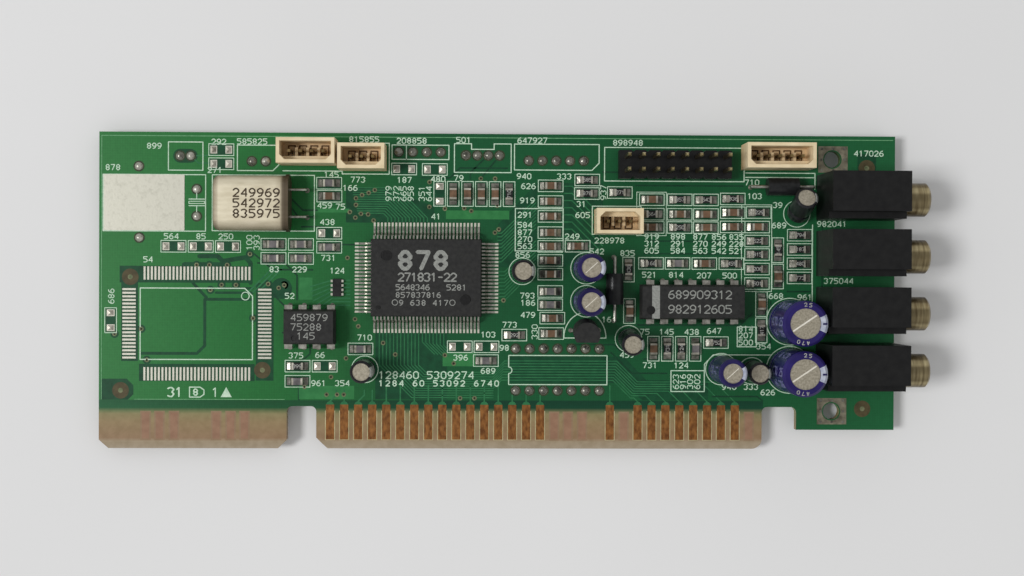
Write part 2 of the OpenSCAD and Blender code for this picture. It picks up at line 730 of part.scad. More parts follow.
// Places a header's own frame on the board.
module at_header(h) {
    translate([h[0], h[1], 0]) rotate([0, 0, h[3]]) children();
}

// Open-topped shell of a plug header, with a comb of ribs beside its pins.
module header_shell(n) {
    l = (n - 1) * header_pitch + header_end;
    cl = l - 2 * header_wall;
    cw = header_w - 2 * header_wall;
    difference() {
        block(l, header_w, header_h);
        translate([0, 0, header_floor]) linear_extrude(header_h) polygon([
            [-cl / 2 + header_corner, -cw / 2], [cl / 2 - header_corner, -cw / 2],
            [cl / 2, -cw / 2 + header_corner], [cl / 2, cw / 2], [-cl / 2, cw / 2],
            [-cl / 2, -cw / 2 + header_corner]]);
        for (k = [0:n - 1]) translate([(k - (n - 1) / 2) * header_pitch, 0, 0])
            block(header_pin, header_pin, header_floor + 2, -1);
    }
    translate([-cl / 2, -cw / 2, header_floor])
        cube([cl, header_comb_w, header_comb_h - header_floor]);
    for (k = [0:n - 2]) translate([(k - (n - 2) / 2) * header_pitch - header_rib_w / 2,
        -cw / 2, header_floor]) cube([header_rib_w, header_comb_w + header_rib_l, header_rib_h]);
}

// Square pins of a plug header.
module header_pin_row(n) {
    for (k = [0:n - 1]) translate([(k - (n - 1) / 2) * header_pitch, 0, 0])
        block(header_pin, header_pin, board_t + lead_tail + header_pin_h, -board_t - lead_tail);
}

module header_4way_shell() {
    color([0.85, 0.77, 0.62]) on_card() at_header(header_4way) header_shell(header_4way[2]);
}

module header_4way_pins() {
    color([0.7, 0.66, 0.55]) on_card() at_header(header_4way) header_pin_row(header_4way[2]);
}

module header_5way_shell() {
    color([0.85, 0.77, 0.62]) on_card() at_header(header_5way) header_shell(header_5way[2]);
}

module header_5way_pins() {
    color([0.7, 0.66, 0.55]) on_card() at_header(header_5way) header_pin_row(header_5way[2]);
}

module header_3way_top_shell() {
    color([0.85, 0.77, 0.62]) on_card() at_header(header_3way_top)
        header_shell(header_3way_top[2]);
}

module header_3way_top_pins() {
    color([0.7, 0.66, 0.55]) on_card() at_header(header_3way_top)
        header_pin_row(header_3way_top[2]);
}

module header_3way_mid_shell() {
    color([0.85, 0.77, 0.62]) on_card() at_header(header_3way_mid)
        header_shell(header_3way_mid[2]);
}

module header_3way_mid_pins() {
    color([0.7, 0.66, 0.55]) on_card() at_header(header_3way_mid)
        header_pin_row(header_3way_mid[2]);
}

module jumper_block_base() {
    l = jumper_columns * jumper_pitch;
    color([0.1, 0.1, 0.1]) on_card() difference() {
        translate(jumper_at) block(l, 2 * jumper_pitch, jumper_base_h);
        for (k = [1:jumper_columns - 1], s = [-1, 1])
            translate([jumper_at[0] - l / 2 + k * jumper_pitch,
                jumper_at[1] + s * jumper_pitch, 0]) rotate([0, 0, 45])
                    block(jumper_nick, jumper_nick, jumper_base_h + 2, -1);
        at_each(jumper_pins) block(jumper_pin, jumper_pin, jumper_base_h + 2, -1);
    }
}

// Square jumper pin with its tip cut to a blunt point.
module jumper_pin_post() {
    r = jumper_pin / 2;
    intersection() {
        rotate([90, 0, 0]) linear_extrude(2, center = true) post_side(r);
        rotate([90, 0, 90]) linear_extrude(2, center = true) post_side(r);
    }
}

// Side view of a jumper pin.
module post_side(r) {
    polygon([[-r, -board_t - lead_tail], [r, -board_t - lead_tail],
        [r, jumper_pin_h - jumper_tip], [r / 2, jumper_pin_h], [-r / 2, jumper_pin_h],
        [-r, jumper_pin_h - jumper_tip]]);
}

module jumper_block_pins() {
    color([0.75, 0.68, 0.45]) on_card() at_each(jumper_pins) jumper_pin_post();
}

// Turns a profile drawn from the socket axis outwards into a body lying along X.
module along_socket() {
    translate([0, 0, jack_axis_h]) rotate([0, 90, 0]) children();
}

// Moulded jack housing: block and ledge around a round chamber.
module jack_housing(k) {
    color([0.1, 0.1, 0.1]) on_card() translate([jack_x, jack_ys[k], 0]) difference() {
        union() {
            translate([0, jack_offset - jack_w / 2 + jack_ledge_w, 0])
                cube([jack_l, jack_w - jack_ledge_w, jack_h]);
            translate([0, jack_offset - jack_w / 2, 0])
                cube([jack_l, jack_w, jack_ledge_h]);
        }
        along_socket() translate([0, 0, jack_wall])
            cylinder(d = jack_chamber_d, h = jack_l - jack_wall - shank_l);
        along_socket() translate([0, 0, jack_l - shank_l])
            cylinder(d = shank_d, h = shank_l + 1);
        jack_blades();
    }
}

// Metal bushing of a jack with a shank set into the housing.
module jack_bushing(k) {
    r0 = bushing_bore_d / 2;
    r1 = bushing_d / 2;
    color([0.6, 0.54, 0.4]) on_card() translate([jack_x, jack_ys[k], 0]) along_socket()
        rotate_extrude($fn = 64) polygon([[r0, jack_l - shank_l], [shank_d / 2, jack_l - shank_l],
            [shank_d / 2, jack_l], [r1, jack_l], [r1, jack_l + bushing_l - bushing_chamfer],
            [r1 - bushing_chamfer, jack_l + bushing_l], [r0, jack_l + bushing_l]]);
}

// The five sheet-metal contacts of a jack: sleeve, tip, ring and two switch blades.
module jack_blades() {
    bottom = -board_t - lead_tail;
    translate([sleeve_leg_x, 0, 0])
        block(blade_t, blade_w, jack_axis_h - shank_d / 2 - blade_gap - bottom, bottom);
    leg(tip_leg_x, leaf_y, jack_axis_h - leaf_h / 2);
    leg(ring_leg_x, -leaf_y, jack_axis_h - leaf_h / 2);
    for (s = [-1, 1]) translate([leaf_x[0], s * leaf_y - blade_t / 2, jack_axis_h - leaf_h / 2])
        cube([leaf_x[1] - leaf_x[0], blade_t, leaf_h]);
    leg(jack_pins[3][0], switch_y, jack_axis_h + leaf_h / 2);
    leg(jack_pins[4][0], switch_y, jack_axis_h + leaf_h / 2);
}

// Upright leg of a jack contact, from its trimmed tip to the height top.
module leg(x, y, top) {
    translate([x, y, 0])
        block(blade_w, blade_t, top + board_t + lead_tail, -board_t - lead_tail);
}

module jack_contacts(k) {
    color([0.75, 0.73, 0.66]) on_card() translate([jack_x, jack_ys[k], 0]) jack_blades();
}

// Places a capacitor's own frame: upright, or leaning about its pair of leads.
module at_caps(caps) {
    for (c = caps) translate([c[0], c[1], c[4]]) rotate([0, 0, c[2]]) rotate([c[3], 0, 0])
        translate([0, 0, cap_stand]) children();
}

// Width of the rounded rim of a can with diameter d.
function rim(d) = rim_share * d;

// Aluminium can with a crimped groove and an open recess for the bung.
module cap_can(d, h) {
    r = d / 2 - sleeve_t;
    rotate_extrude() polygon([[0, bung_h], [r - rim(d), bung_h], [r - rim(d), can_lift], [r, can_lift],
        [r, groove_z - groove_half], [r - groove_d, groove_z], [r, groove_z + groove_half],
        [r, h - sleeve_t - rim(d)], [r - rim(d), h - sleeve_t], [0, h - sleeve_t]]);
}

// Shrunk sleeve that follows the can and folds over its rim, open over the diameter top_d.
module cap_sleeve(d, h, top_d) {
    r = d / 2;
    q = r - sleeve_t;
    rotate_extrude() polygon([[q, can_lift], [r, can_lift], [r, groove_z - groove_half],
        [r - groove_d, groove_z], [r, groove_z + groove_half], [r, h - rim(d)], [r - rim(d), h],
        [top_d / 2, h], [top_d / 2, h - sleeve_t], [q - rim(d), h - sleeve_t],
        [q, h - sleeve_t - rim(d)], [q, groove_z + groove_half], [q - groove_d, groove_z],
        [q, groove_z - groove_half]]);
}

// Rubber bung with the two leads through it.
module cap_bung(d, gap) {
    difference() {
        cylinder(r = d / 2 - sleeve_t - rim(d), h = bung_h);
        for (s = [-1, 1]) translate([s * gap / 2, 0, -1]) cylinder(d = cap_lead_d, h = bung_h + 2);
    }
}

// Both leads of every capacitor in a list, bent where the body leans.
module cap_leads(caps, gap) {
    for (c = caps, s = [-1, 1]) translate([c[0], c[1], 0]) rotate([0, 0, c[2]])
        translate([s * gap / 2, 0, 0]) {
            translate([0, 0, -board_t - lead_tail])
                cylinder(d = cap_lead_d, h = board_t + lead_tail + c[4]);
            if (c[3] != 0) translate([0, 0, c[4]]) sphere(d = cap_bend_d);
            translate([0, 0, c[4]]) rotate([c[3], 0, 0])
                cylinder(d = cap_lead_d, h = cap_stand + bung_h);
        }
}

module large_capacitor_cans() {
    color([0.72, 0.7, 0.64]) on_card() at_caps(large_caps) cap_can(large_cap_d, large_cap_h);
}

module large_capacitor_sleeves() {
    color([0.18, 0.12, 0.43]) on_card() at_caps(large_caps)
        cap_sleeve(large_cap_d, large_cap_h, large_top_d);
}

module large_capacitor_bungs() {
    color([0.15, 0.15, 0.15]) on_card() at_caps(large_caps)
        cap_bung(large_cap_d, large_lead_gap);
}

module large_capacitor_leads() {
    color([0.75, 0.75, 0.73]) on_card() cap_leads(large_caps, large_lead_gap);
}

module medium_capacitor_cans() {
    color([0.72, 0.7, 0.64]) on_card() at_caps(medium_caps)
        cap_can(medium_cap_d, medium_cap_h);
}

module medium_capacitor_sleeves() {
    color([0.18, 0.12, 0.43]) on_card() at_caps(medium_caps)
        cap_sleeve(medium_cap_d, medium_cap_h, medium_top_d);
}

module medium_capacitor_bungs() {
    color([0.15, 0.15, 0.15]) on_card() at_caps(medium_caps)
        cap_bung(medium_cap_d, medium_lead_gap);
}

module medium_capacitor_leads() {
    color([0.75, 0.75, 0.73]) on_card() cap_leads(medium_caps, medium_lead_gap);
}

module small_capacitor_cans() {
    color([0.72, 0.7, 0.64]) on_card() at_caps(small_caps) cap_can(small_cap_d, small_cap_h);
}

module small_capacitor_sleeves() {
    color([0.12, 0.12, 0.13]) on_card() at_caps(small_caps)
        cap_sleeve(small_cap_d, small_cap_h, small_top_d);
}

module small_capacitor_bungs() {
    color([0.15, 0.15, 0.15]) on_card() at_caps(small_caps)
        cap_bung(small_cap_d, small_lead_gap);
}

module small_capacitor_leads() {
    color([0.75, 0.75, 0.73]) on_card() cap_leads(small_caps, small_lead_gap);
}

// Bead wire's own frame: starts over the first hole and runs along X to the second.
module at_wire(w) {
    turn = atan2(w[1][1] - w[0][1], w[1][0] - w[0][0]);
    translate([w[0][0], w[0][1], 0]) rotate([0, 0, turn]) children();
}

function span(w) = norm(w[1] - w[0]);

module ferrite_beads() {
    color([0.3, 0.3, 0.31]) on_card() for (w = [bead_wire_1, bead_wire_2]) at_wire(w)
        translate([span(w) / 2 - bead_l / 2, 0, bead_d / 2]) rotate([0, 90, 0]) difference() {
            cylinder(d = bead_d, h = bead_l);
            translate([0, 0, -1]) cylinder(d = bead_wire_d, h = bead_l + 2);
        }
}

module ferrite_bead_wires() {
    color([0.75, 0.74, 0.7]) on_card() for (w = [bead_wire_1, bead_wire_2]) at_wire(w) {
        bent_wire(0, [span(w), 0], bead_d / 2, bead_wire_d);
        translate([0, 0, bead_d / 2]) sphere(d = bead_wire_d);
        translate([0, 0, -board_t - lead_tail])
            cylinder(d = bead_wire_d, h = board_t + lead_tail + bead_d / 2);
    }
}

// Places the regulator body's own frame.
module at_regulator() {
    translate([regulator_at[0], regulator_at[1], regulator_z]) rotate([regulator_lean, 0, 0])
        children();
}

module regulator_body() {
    color([0.17, 0.17, 0.17]) on_card() at_regulator() difference() {
        linear_extrude(regulator_h) intersection() {
            circle(d = regulator_d);
            translate([-regulator_d, regulator_d / 2 - regulator_w])
                square([regulator_d * 2, regulator_d]);
        }
        for (k = [-1:1]) translate([k * regulator_pitch, 0, 0])
            block(regulator_lead, regulator_lead, 0.6, -0.1);
    }
}

module regulator_leads() {
    color([0.75, 0.75, 0.73]) on_card() {
        at_each(regulator_pins)
            block(regulator_lead, regulator_lead, board_t + lead_tail + 0.6, -board_t - lead_tail);
        for (k = [-1:1]) {
            at_regulator() translate([k * regulator_pitch, 0, 0])
                block(regulator_lead, regulator_lead, 0.5, 0);
            hull() {
                translate([regulator_at[0] + k * regulator_spread, regulator_at[1], 0])
                    block(regulator_lead, regulator_lead, 0.1, 0.5);
                at_regulator() translate([k * regulator_pitch, 0, 0])
                    block(regulator_lead, regulator_lead, 0.1, -0.1);
            }
        }
    }
}

module resistor_network_body() {
    color([0.15, 0.15, 0.16]) on_card() translate([network_at[0], network_at[1], 0])
        block(network_w, network_l, network_h, pad_t);
}

module resistor_network_ends() {
    color([0.78, 0.78, 0.75]) on_card() translate([network_at[0], network_at[1], 0])
        for (k = [-1.5:1.5], s = [-1, 1])
            translate([s * (network_w + network_end_l) / 2, k * network_pitch, 0])
                block(network_end_l, network_end_w, network_h, pad_t);
}

// Middle of a chip part, between its end caps.
module chip_body(h) {
    block(chip_l - 2 * chip_cap_l, chip_w, h, pad_t);
}

// The two end caps of a chip part.
module chip_caps(h) {
    for (s = [-1, 1]) translate([s * (chip_l - chip_cap_l) / 2, 0, 0])
        block(chip_cap_l, chip_w, h, pad_t);
}

module chip_resistor_bodies() {
    color([0.13, 0.13, 0.13]) on_card() at_chips(chip_resistors) chip_body(chip_resistor_h);
}

module chip_capacitor_bodies() {
    color([0.5, 0.37, 0.26]) on_card() at_chips(chip_capacitors) chip_body(chip_capacitor_h);
}

module chip_inductor_bodies() {
    color([0.35, 0.33, 0.36]) on_card() at_chips(chip_inductors) chip_body(chip_capacitor_h);
}

module chip_end_caps() {
    color([0.8, 0.79, 0.75]) on_card() {
        at_chips(chip_resistors) chip_caps(chip_resistor_h);
        at_chips(concat(chip_capacitors, chip_inductors)) chip_caps(chip_capacitor_h);
    }
}

circuit_board();
edge_contacts_front();
edge_contacts_back();
bracket_pads();
tinned_pads();
solder_joints();
sound_chip_body();
sound_chip_leads();
memory_chip_body();
memory_chip_leads();
amplifier_body();
amplifier_leads();
crystal_can();
crystal_base();
crystal_leads();
header_4way_shell();
header_4way_pins();
header_5way_shell();
header_5way_pins();
header_3way_top_shell();
header_3way_top_pins();
header_3way_mid_shell();
header_3way_mid_pins();
jumper_block_base();
jumper_block_pins();
jack_housing(0);  // jack_housing_1
jack_housing(1);  // jack_housing_2
jack_housing(2);  // jack_housing_3
jack_housing(3);  // jack_housing_4
jack_bushing(0);  // jack_bushing_1
jack_bushing(1);  // jack_bushing_2
jack_bushing(2);  // jack_bushing_3
jack_bushing(3);  // jack_bushing_4
jack_contacts(0);  // jack_contacts_1
jack_contacts(1);  // jack_contacts_2
jack_contacts(2);  // jack_contacts_3
jack_contacts(3);  // jack_contacts_4
large_capacitor_cans();
large_capacitor_sleeves();
large_capacitor_bungs();
large_capacitor_leads();
medium_capacitor_cans();
medium_capacitor_sleeves();
medium_capacitor_bungs();
medium_capacitor_leads();
small_capacitor_cans();
small_capacitor_sleeves();
small_capacitor_bungs();
small_capacitor_leads();
ferrite_beads();
ferrite_bead_wires();
regulator_body();
regulator_leads();
resistor_network_body();
resistor_network_ends();
chip_resistor_bodies();
chip_capacitor_bodies();
chip_inductor_bodies();
chip_end_caps();
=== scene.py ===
import math

import bpy
import numpy as np
from mathutils import Matrix, Vector


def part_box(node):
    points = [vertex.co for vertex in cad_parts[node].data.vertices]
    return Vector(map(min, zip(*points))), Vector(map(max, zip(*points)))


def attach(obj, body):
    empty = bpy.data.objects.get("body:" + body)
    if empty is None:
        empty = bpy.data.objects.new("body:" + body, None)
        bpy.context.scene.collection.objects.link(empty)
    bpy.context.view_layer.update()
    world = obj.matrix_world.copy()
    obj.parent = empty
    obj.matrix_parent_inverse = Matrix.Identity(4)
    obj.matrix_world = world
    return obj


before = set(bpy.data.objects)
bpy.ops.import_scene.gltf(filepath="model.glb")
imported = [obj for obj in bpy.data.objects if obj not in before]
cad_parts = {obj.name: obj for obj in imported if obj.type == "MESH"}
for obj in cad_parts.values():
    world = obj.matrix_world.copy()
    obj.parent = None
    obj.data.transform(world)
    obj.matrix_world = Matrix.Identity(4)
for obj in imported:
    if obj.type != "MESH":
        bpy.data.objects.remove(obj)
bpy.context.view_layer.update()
scene = bpy.context.scene

# Places are in the board's own millimetres: X from its left edge, Y from its connector edge, Z from its
# top face. The frame gives where that origin lies.
MM = 0.001
board_low, board_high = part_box("circuit_board")
SHIFT = np.round(np.array([board_low[0], board_low[1], board_high[2]]) / MM, 3)
BOARD_LENGTH, BOARD_WIDTH = (round((board_high[k] - board_low[k]) / MM, 3) for k in (0, 1))

PITCH = 2.54  # of the edge contacts and of most rows of holes
FIRST_CONTACT = 41.65
MASK_STARTS, MASK_FULL = 6.3, 7.4  # the green mask fades in between these, above the bare tabs
STRIP_LOW, STRIP_HIGH = 6.0, 10.0  # the darker strip of mask along the tabs lies between these
STRIP_END, GAP_END = 120.5, 123.0  # where that strip stops, and the gap right of the long tab ends
SINK = -0.01  # print and copper start this far inside the board


def metres(points):
    """Board millimetres into the row frame in metres."""
    return (np.asarray(points, float) + SHIFT) * MM


def on(axis, place):
    """One board reading in millimetres on axis 0, 1 or 2 into metres of the row frame."""
    return float((place + SHIFT[axis]) * MM)


def colour(r, g, b):
    """A screen colour from 0 to 255 as the linear colour that renders as it."""
    c = np.array([r, g, b]) / 255
    return (*np.where(c <= 0.04045, c / 12.92, ((c + 0.055) / 1.055) ** 2.4).tolist(), 1.0)


def top_of(node):
    """Height of a CAD node's top above the board, in millimetres."""
    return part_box(node)[1][2] / MM - SHIFT[2]


# ---------------------------------------------------------------- materials


class Tree:
    """The nodes of a material or a world, with short ways to add and join them. Each way but feed and
    add gives back the socket, or the sockets, that hold its result."""

    def __init__(self, owner):
        owner.use_nodes = True
        self.nodes, self.links = owner.node_tree.nodes, owner.node_tree.links

    def feed(self, node, inputs):
        """Set a node's inputs; each value is a plain one or the socket that feeds it."""
        for key, value in inputs.items():
            if isinstance(value, bpy.types.NodeSocket):
                self.links.new(value, node.inputs[key])
            else:
                node.inputs[key].default_value = value

    def add(self, kind, inputs, **settings):
        """A new node of this kind, with these inputs and settings."""
        node = self.nodes.new("ShaderNode" + kind)
        for key, value in settings.items():
            setattr(node, key, value)
        self.feed(node, inputs)
        return node

    def where(self, kind="Object"):
        return self.add("TexCoord", {}).outputs[kind]

    def split(self, source):
        """The three parts of a vector."""
        return tuple(self.add("SeparateXYZ", {0: source}).outputs)

    def maths(self, operation, *values):
        return self.add("Math", dict(enumerate(values)), operation=operation).outputs[0]

    def noise(self, place, scale, detail=2.0):
        return self.add("TexNoise", {"Vector": place, "Scale": scale, "Detail": detail}).outputs["Fac"]

    def between(self, source, low, high):
        """0 where the source reads low, 1 where it reads high."""
        return self.add("MapRange", {"Value": source, "From Min": low, "From Max": high}).outputs[0]

    def ramp(self, source, stops):
        """Colours at places from 0 to 1, given as (place, colour) stops."""
        r = self.add("ValToRGB", {0: source})
        r.color_ramp.elements[0].position, r.color_ramp.elements[0].color = stops[0]
        r.color_ramp.elements[1].position, r.color_ramp.elements[1].color = stops[-1]
        for place, c in stops[1:-1]:
            r.color_ramp.elements.new(place).color = c
        return r.outputs[0]

    def mix(self, kind, factor, a, b):
        return self.add("Mix", {0: factor, 6: a, 7: b}, data_type="RGBA", blend_type=kind).outputs[2]

    def relief(self, height, strength, distance):
        return self.add("Bump", {"Height": height, "Strength": strength, "Distance": distance}).outputs[0]


def material(name, low, high, rough, metal=0.0, scale=900, bump=0.0, bump_scale=None,
             stretch=(1, 1, 1), coat=0.0, spread=(0.3, 0.7), shine=0.25):
    """Two colours mottled by noise in the object's own coordinates, with a fine relief."""
    m = bpy.data.materials.new(name)
    tree = Tree(m)
    place = tree.add("Mapping", {"Vector": tree.where(), "Scale": stretch}).outputs[0]
    stops = [(spread[0], colour(*low)), (spread[1], colour(*high))]
    look = {
        "Base Color": tree.ramp(tree.noise(place, scale, 3), stops), "Roughness": rough, "Metallic": metal,
        "Specular IOR Level": shine, "Coat Weight": coat, "Coat Roughness": 0.1}
    if bump:
        look["Normal"] = tree.relief(tree.noise(place, bump_scale or scale * 4), bump, 0.00005)
    tree.feed(tree.nodes["Principled BSDF"], look)
    return m


def laminate():
    """Green mask over copper and woven threads, light at the left and darker from the middle on, with a
    darker strip along the tabs. The tabs and every upright face are bare tan laminate."""
    m = bpy.data.materials.new("laminate")
    tree = Tree(m)
    place = tree.where()
    x, y, _ = tree.split(place)
    white = (1, 1, 1, 1)

    green = tree.ramp(tree.between(x, on(0, 0), on(0, BOARD_LENGTH)), [
        (0.0, colour(48, 122, 62)), (0.2, colour(30, 110, 50)), (0.3, colour(28, 102, 50)),
        (0.4, colour(17, 86, 48)), (0.75, colour(17, 86, 48)), (1.0, colour(26, 98, 56))])
    clouds = tree.ramp(tree.noise(place, 55, 4), [(0.3, (0.8, 0.84, 0.8, 1)), (0.7, white)])
    green = tree.mix("MULTIPLY", 0.5, green, clouds)
    for way in ("X", "Y"):
        cloth = tree.add("TexWave", {"Vector": place, "Scale": 700}, bands_direction=way)
        threads = tree.ramp(cloth.outputs["Fac"], [(0.0, (0.88, 0.9, 0.88, 1)), (0.5, white)])
        green = tree.mix("MULTIPLY", 0.6, green, threads)
    grain = tree.ramp(tree.noise(place, 1400, 4), [(0.35, (0.82, 0.86, 0.84, 1)), (0.65, white)])
    green = tree.mix("MULTIPLY", 0.6, green, grain)
    strip = tree.ramp(tree.between(y, on(1, STRIP_LOW), on(1, STRIP_HIGH)), [
        (0.0, (0.8, 0.8, 1, 1)), (0.3, (0.45, 0.6, 0.85, 1)), (0.68, (0.35, 0.5, 0.72, 1)),
        (0.71, white), (1.0, white)])
    green = tree.mix("MULTIPLY", tree.maths("LESS_THAN", x, on(0, STRIP_END)), green, strip)

    tan = tree.ramp(tree.between(y, on(1, 0), on(1, 8)), [
        (0.0, colour(166, 152, 132)), (0.16, colour(160, 144, 120)), (0.24, colour(146, 120, 92)),
        (0.6, colour(148, 128, 94)), (0.9, colour(134, 132, 92)), (1.0, colour(96, 120, 78))])
    specks = tree.ramp(tree.noise(place, 700, 4), [(0.35, (0.8, 0.78, 0.72, 1)), (0.65, white)])
    tan = tree.mix("MULTIPLY", 0.7, tan, specks)

    beside = tree.maths("GREATER_THAN", x, on(0, GAP_END))
    reach = tree.maths("MAXIMUM", tree.between(y, on(1, MASK_STARTS), on(1, MASK_FULL)), beside)
    flat = tree.maths("ABSOLUTE", tree.split(tree.where("Normal"))[2])
    masked = tree.maths("MULTIPLY", flat, reach)
    tree.feed(tree.nodes["Principled BSDF"], {
        "Base Color": tree.mix("MIX", masked, tan, green), "Roughness": 0.42, "Specular IOR Level": 0.25,
        "Normal": tree.relief(tree.noise(place, 2200), 0.25, 0.00004)})
    return m


def shaded(m, axis, low, high, stops):
    """Multiply a material's colour by a ramp along axis X, Y or Z, from low to high in metres of the row
    frame. A stop is a place, a brightness and a warmth, which takes away green and, squared, blue."""
    tree = Tree(m)
    shader = tree.nodes["Principled BSDF"]
    source = shader.inputs["Base Color"].links[0].from_socket
    reading = tree.split(tree.where())["XYZ".index(axis)]
    tone = tree.ramp(tree.between(reading, low, high), [(at, (v, v * w, v * w * w, 1)) for at, v, w in stops])
    tree.feed(shader, {"Base Color": tree.mix("MULTIPLY", 1.0, source, tone)})
    return m


board_green = laminate()
gold = material("contact_gold", (98, 58, 26), (152, 102, 52), 0.45, 0.3, 1700, 0.4, 3500, (1, 0.5, 1))
gold_rim = material("gold_rim", (166, 158, 120), (196, 186, 146), 0.45, 0.2, 900, 0.2)
tin = material("tin", (168, 168, 158), (204, 203, 190), 0.36, 0.6, 500, 0.3, 1800)
tin_flat = material("tin_flat", (188, 186, 172), (204, 202, 188), 0.42, 0.35, 1500, 0.25, 2600,
                    spread=(0.2, 0.5))
pad_dull = material("pad_dull", (92, 88, 74), (150, 144, 124), 0.4, 0.55, 900, 0.6, 1600)
solder = material("solder", (84, 84, 76), (150, 148, 138), 0.3, 0.75, 1100, 0.6, 2200)
bright_solder = material("bright_solder", (124, 124, 114), (198, 196, 184), 0.34, 0.5, 1300, 0.5, 2200)
end_metal = material("end_metal", (128, 124, 112), (208, 204, 190), 0.38, 0.6, 700, 0.6, 1500)
chip_black = material("chip_plastic", (36, 36, 36), (48, 48, 47), 0.6, 0.0, 1500, 0.5, 6000, shine=0.2)
lead_metal = material("lead_metal", (132, 130, 122), (196, 194, 184), 0.3, 0.85, 1200, 0.2)
crystal_metal = material("crystal_metal", (208, 198, 172), (228, 219, 194), 0.42, 0.32, 300, 0.2, 1500,
                         (1, 4, 1))
# Painted reflections and shade: ramps along X and Y darken the can's rounded ends and long sides, where its
# curved metal reflects darker surroundings.
can_low, can_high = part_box("crystal_can")
shaded(crystal_metal, "X", can_low[0], can_high[0], [
    (0.0, 0.34, 0.93), (0.05, 0.5, 0.95), (0.09, 1.0, 1.0), (0.86, 0.96, 0.99), (0.93, 0.8, 0.97),
    (0.965, 0.22, 0.9), (1.0, 0.14, 0.85)])
shaded(crystal_metal, "Y", can_low[1], can_high[1], [
    (0.0, 0.4, 0.93), (0.1, 0.8, 0.98), (0.2, 1.0, 1.0), (0.9, 1.0, 1.0), (1.0, 0.6, 0.95)])
ivory_painted_shade = material("ivory_plastic", (216, 196, 158), (238, 220, 184), 0.45, 0.0, 350, 0.2)
# Painted shade: the ivory turns darker and browner towards the board, deepest on the floors of the header
# cavities.
shaded(ivory_painted_shade, "Z", 0.0035, 0.009, [(0.0, 0.9, 0.86), (0.35, 0.9, 0.92), (0.7, 0.98, 1.0), (1.0, 1.0, 1.0)])
pin_metal = material("pin_metal", (120, 106, 72), (206, 192, 146), 0.3, 0.8, 700, 0.2)
plug_pin_painted_shade = material("plug_pin_painted_shade", (110, 90, 56), (168, 146, 100), 0.34, 0.7, 700, 0.2)
# Painted shade: the header pins are dark and brown low down in their cavities, and golden only near their
# tips.
shaded(plug_pin_painted_shade, "Z", 0.004, 0.0085, [(0.0, 0.3, 0.9), (0.7, 0.5, 0.95), (1.0, 1.0, 1.0)])
jumper_pin = material("jumper_pin", (128, 112, 74), (200, 184, 138), 0.3, 0.7, 700, 0.2)
# Painted reflection: below their bright tips the gold pins are darkened to the dark surroundings that their
# sides reflect.
shaded(jumper_pin, "Z", 0.0092, 0.0115, [
    (0.0, 0.2, 1.0), (0.62, 0.24, 1.0), (0.8, 0.85, 0.97), (1.0, 1.0, 1.0)])
black_plastic = material("black_plastic", (17, 17, 18), (27, 27, 27), 0.4, 0.0, 700, 0.35, 3000, shine=0.25)
aluminium = material("can_aluminium", (146, 139, 123), (184, 176, 158), 0.42, 0.5, 3000, 0.6, 5200, (1, 1, 1))
blue_sleeve = material("blue_sleeve", (27, 19, 78), (40, 30, 98), 0.32, 0.0, 300, 0.15, 1200, coat=0.15)
dark_blue_sleeve = material("dark_blue_sleeve", (22, 17, 62), (34, 27, 82), 0.32, 0.0, 300, 0.15, 1200,
                            coat=0.15)
black_sleeve = material("black_sleeve", (14, 14, 17), (26, 26, 31), 0.3, 0.0, 300, 0.15, 1200, coat=0.15)
rubber = material("bung_rubber", (30, 30, 30), (48, 47, 46), 0.7, 0.0, 900, 0.4)
ferrite = material("ferrite", (26, 27, 28), (42, 43, 44), 0.28, 0.1, 900, 0.5, 2500)
resistor_ceramic = material("resistor_ceramic", (22, 22, 22), (38, 38, 37), 0.4, 0.0, 1500, 0.3)
capacitor_ceramic = material("capacitor_ceramic", (82, 64, 48), (122, 94, 72), 0.45, 0.0, 800, 0.3)
inductor_ceramic = material("inductor_ceramic", (82, 79, 80), (122, 118, 118), 0.4, 0.0, 800, 0.3)
silk_white = material("silk_white", (172, 204, 178), (206, 226, 204), 0.6, 0.0, 2500, 0.2)
silk_thin = material("silk_thin", (92, 150, 104), (124, 176, 132), 0.6, 0.0, 2500, 0.2)
mask_dark = material("mask_dark", (9, 60, 36), (16, 76, 46), 0.4, 0.0, 700, 0.2)
mask_light = material("mask_light", (40, 112, 60), (52, 126, 70), 0.4, 0.0, 700, 0.2)
trace_green = material("trace_green", (34, 100, 62), (50, 118, 74), 0.38, 0.0, 900, 0.2)
trace_dark = material("trace_dark", (10, 54, 34), (16, 68, 42), 0.4, 0.0, 900, 0.2)
via_metal = material("via_metal", (84, 96, 66), (130, 132, 100), 0.4, 0.2, 1800, 0.2)
# Painted shade inside the via holes.
hole_shade_brown = material("hole_shade_brown", (28, 26, 18), (48, 42, 28), 0.6, 0.0, 1800, 0.2)
print_grey = material("print_grey", (126, 128, 124), (154, 156, 150), 0.6, 0.0, 2500, 0.2)
print_dim = material("print_dim", (22, 22, 22), (30, 30, 30), 0.35, 0.0, 2500, 0.2)
print_pale = material("print_pale", (142, 142, 138), (176, 176, 170), 0.5, 0.0, 2000, 0.2)
stripe_pale = material("stripe_pale", (158, 164, 182), (198, 202, 214), 0.35, 0.0, 1200, 0.2)
sleeve_pale = material("sleeve_pale", (92, 92, 138), (128, 130, 172), 0.4, 0.0, 1200, 0.2)
score_metal = material("score_metal", (224, 218, 202), (246, 242, 230), 0.3, 0.2, 900, 0.3)
joint_edge = material("joint_edge", (34, 52, 34), (64, 70, 46), 0.5, 0.1, 1400, 0.3)
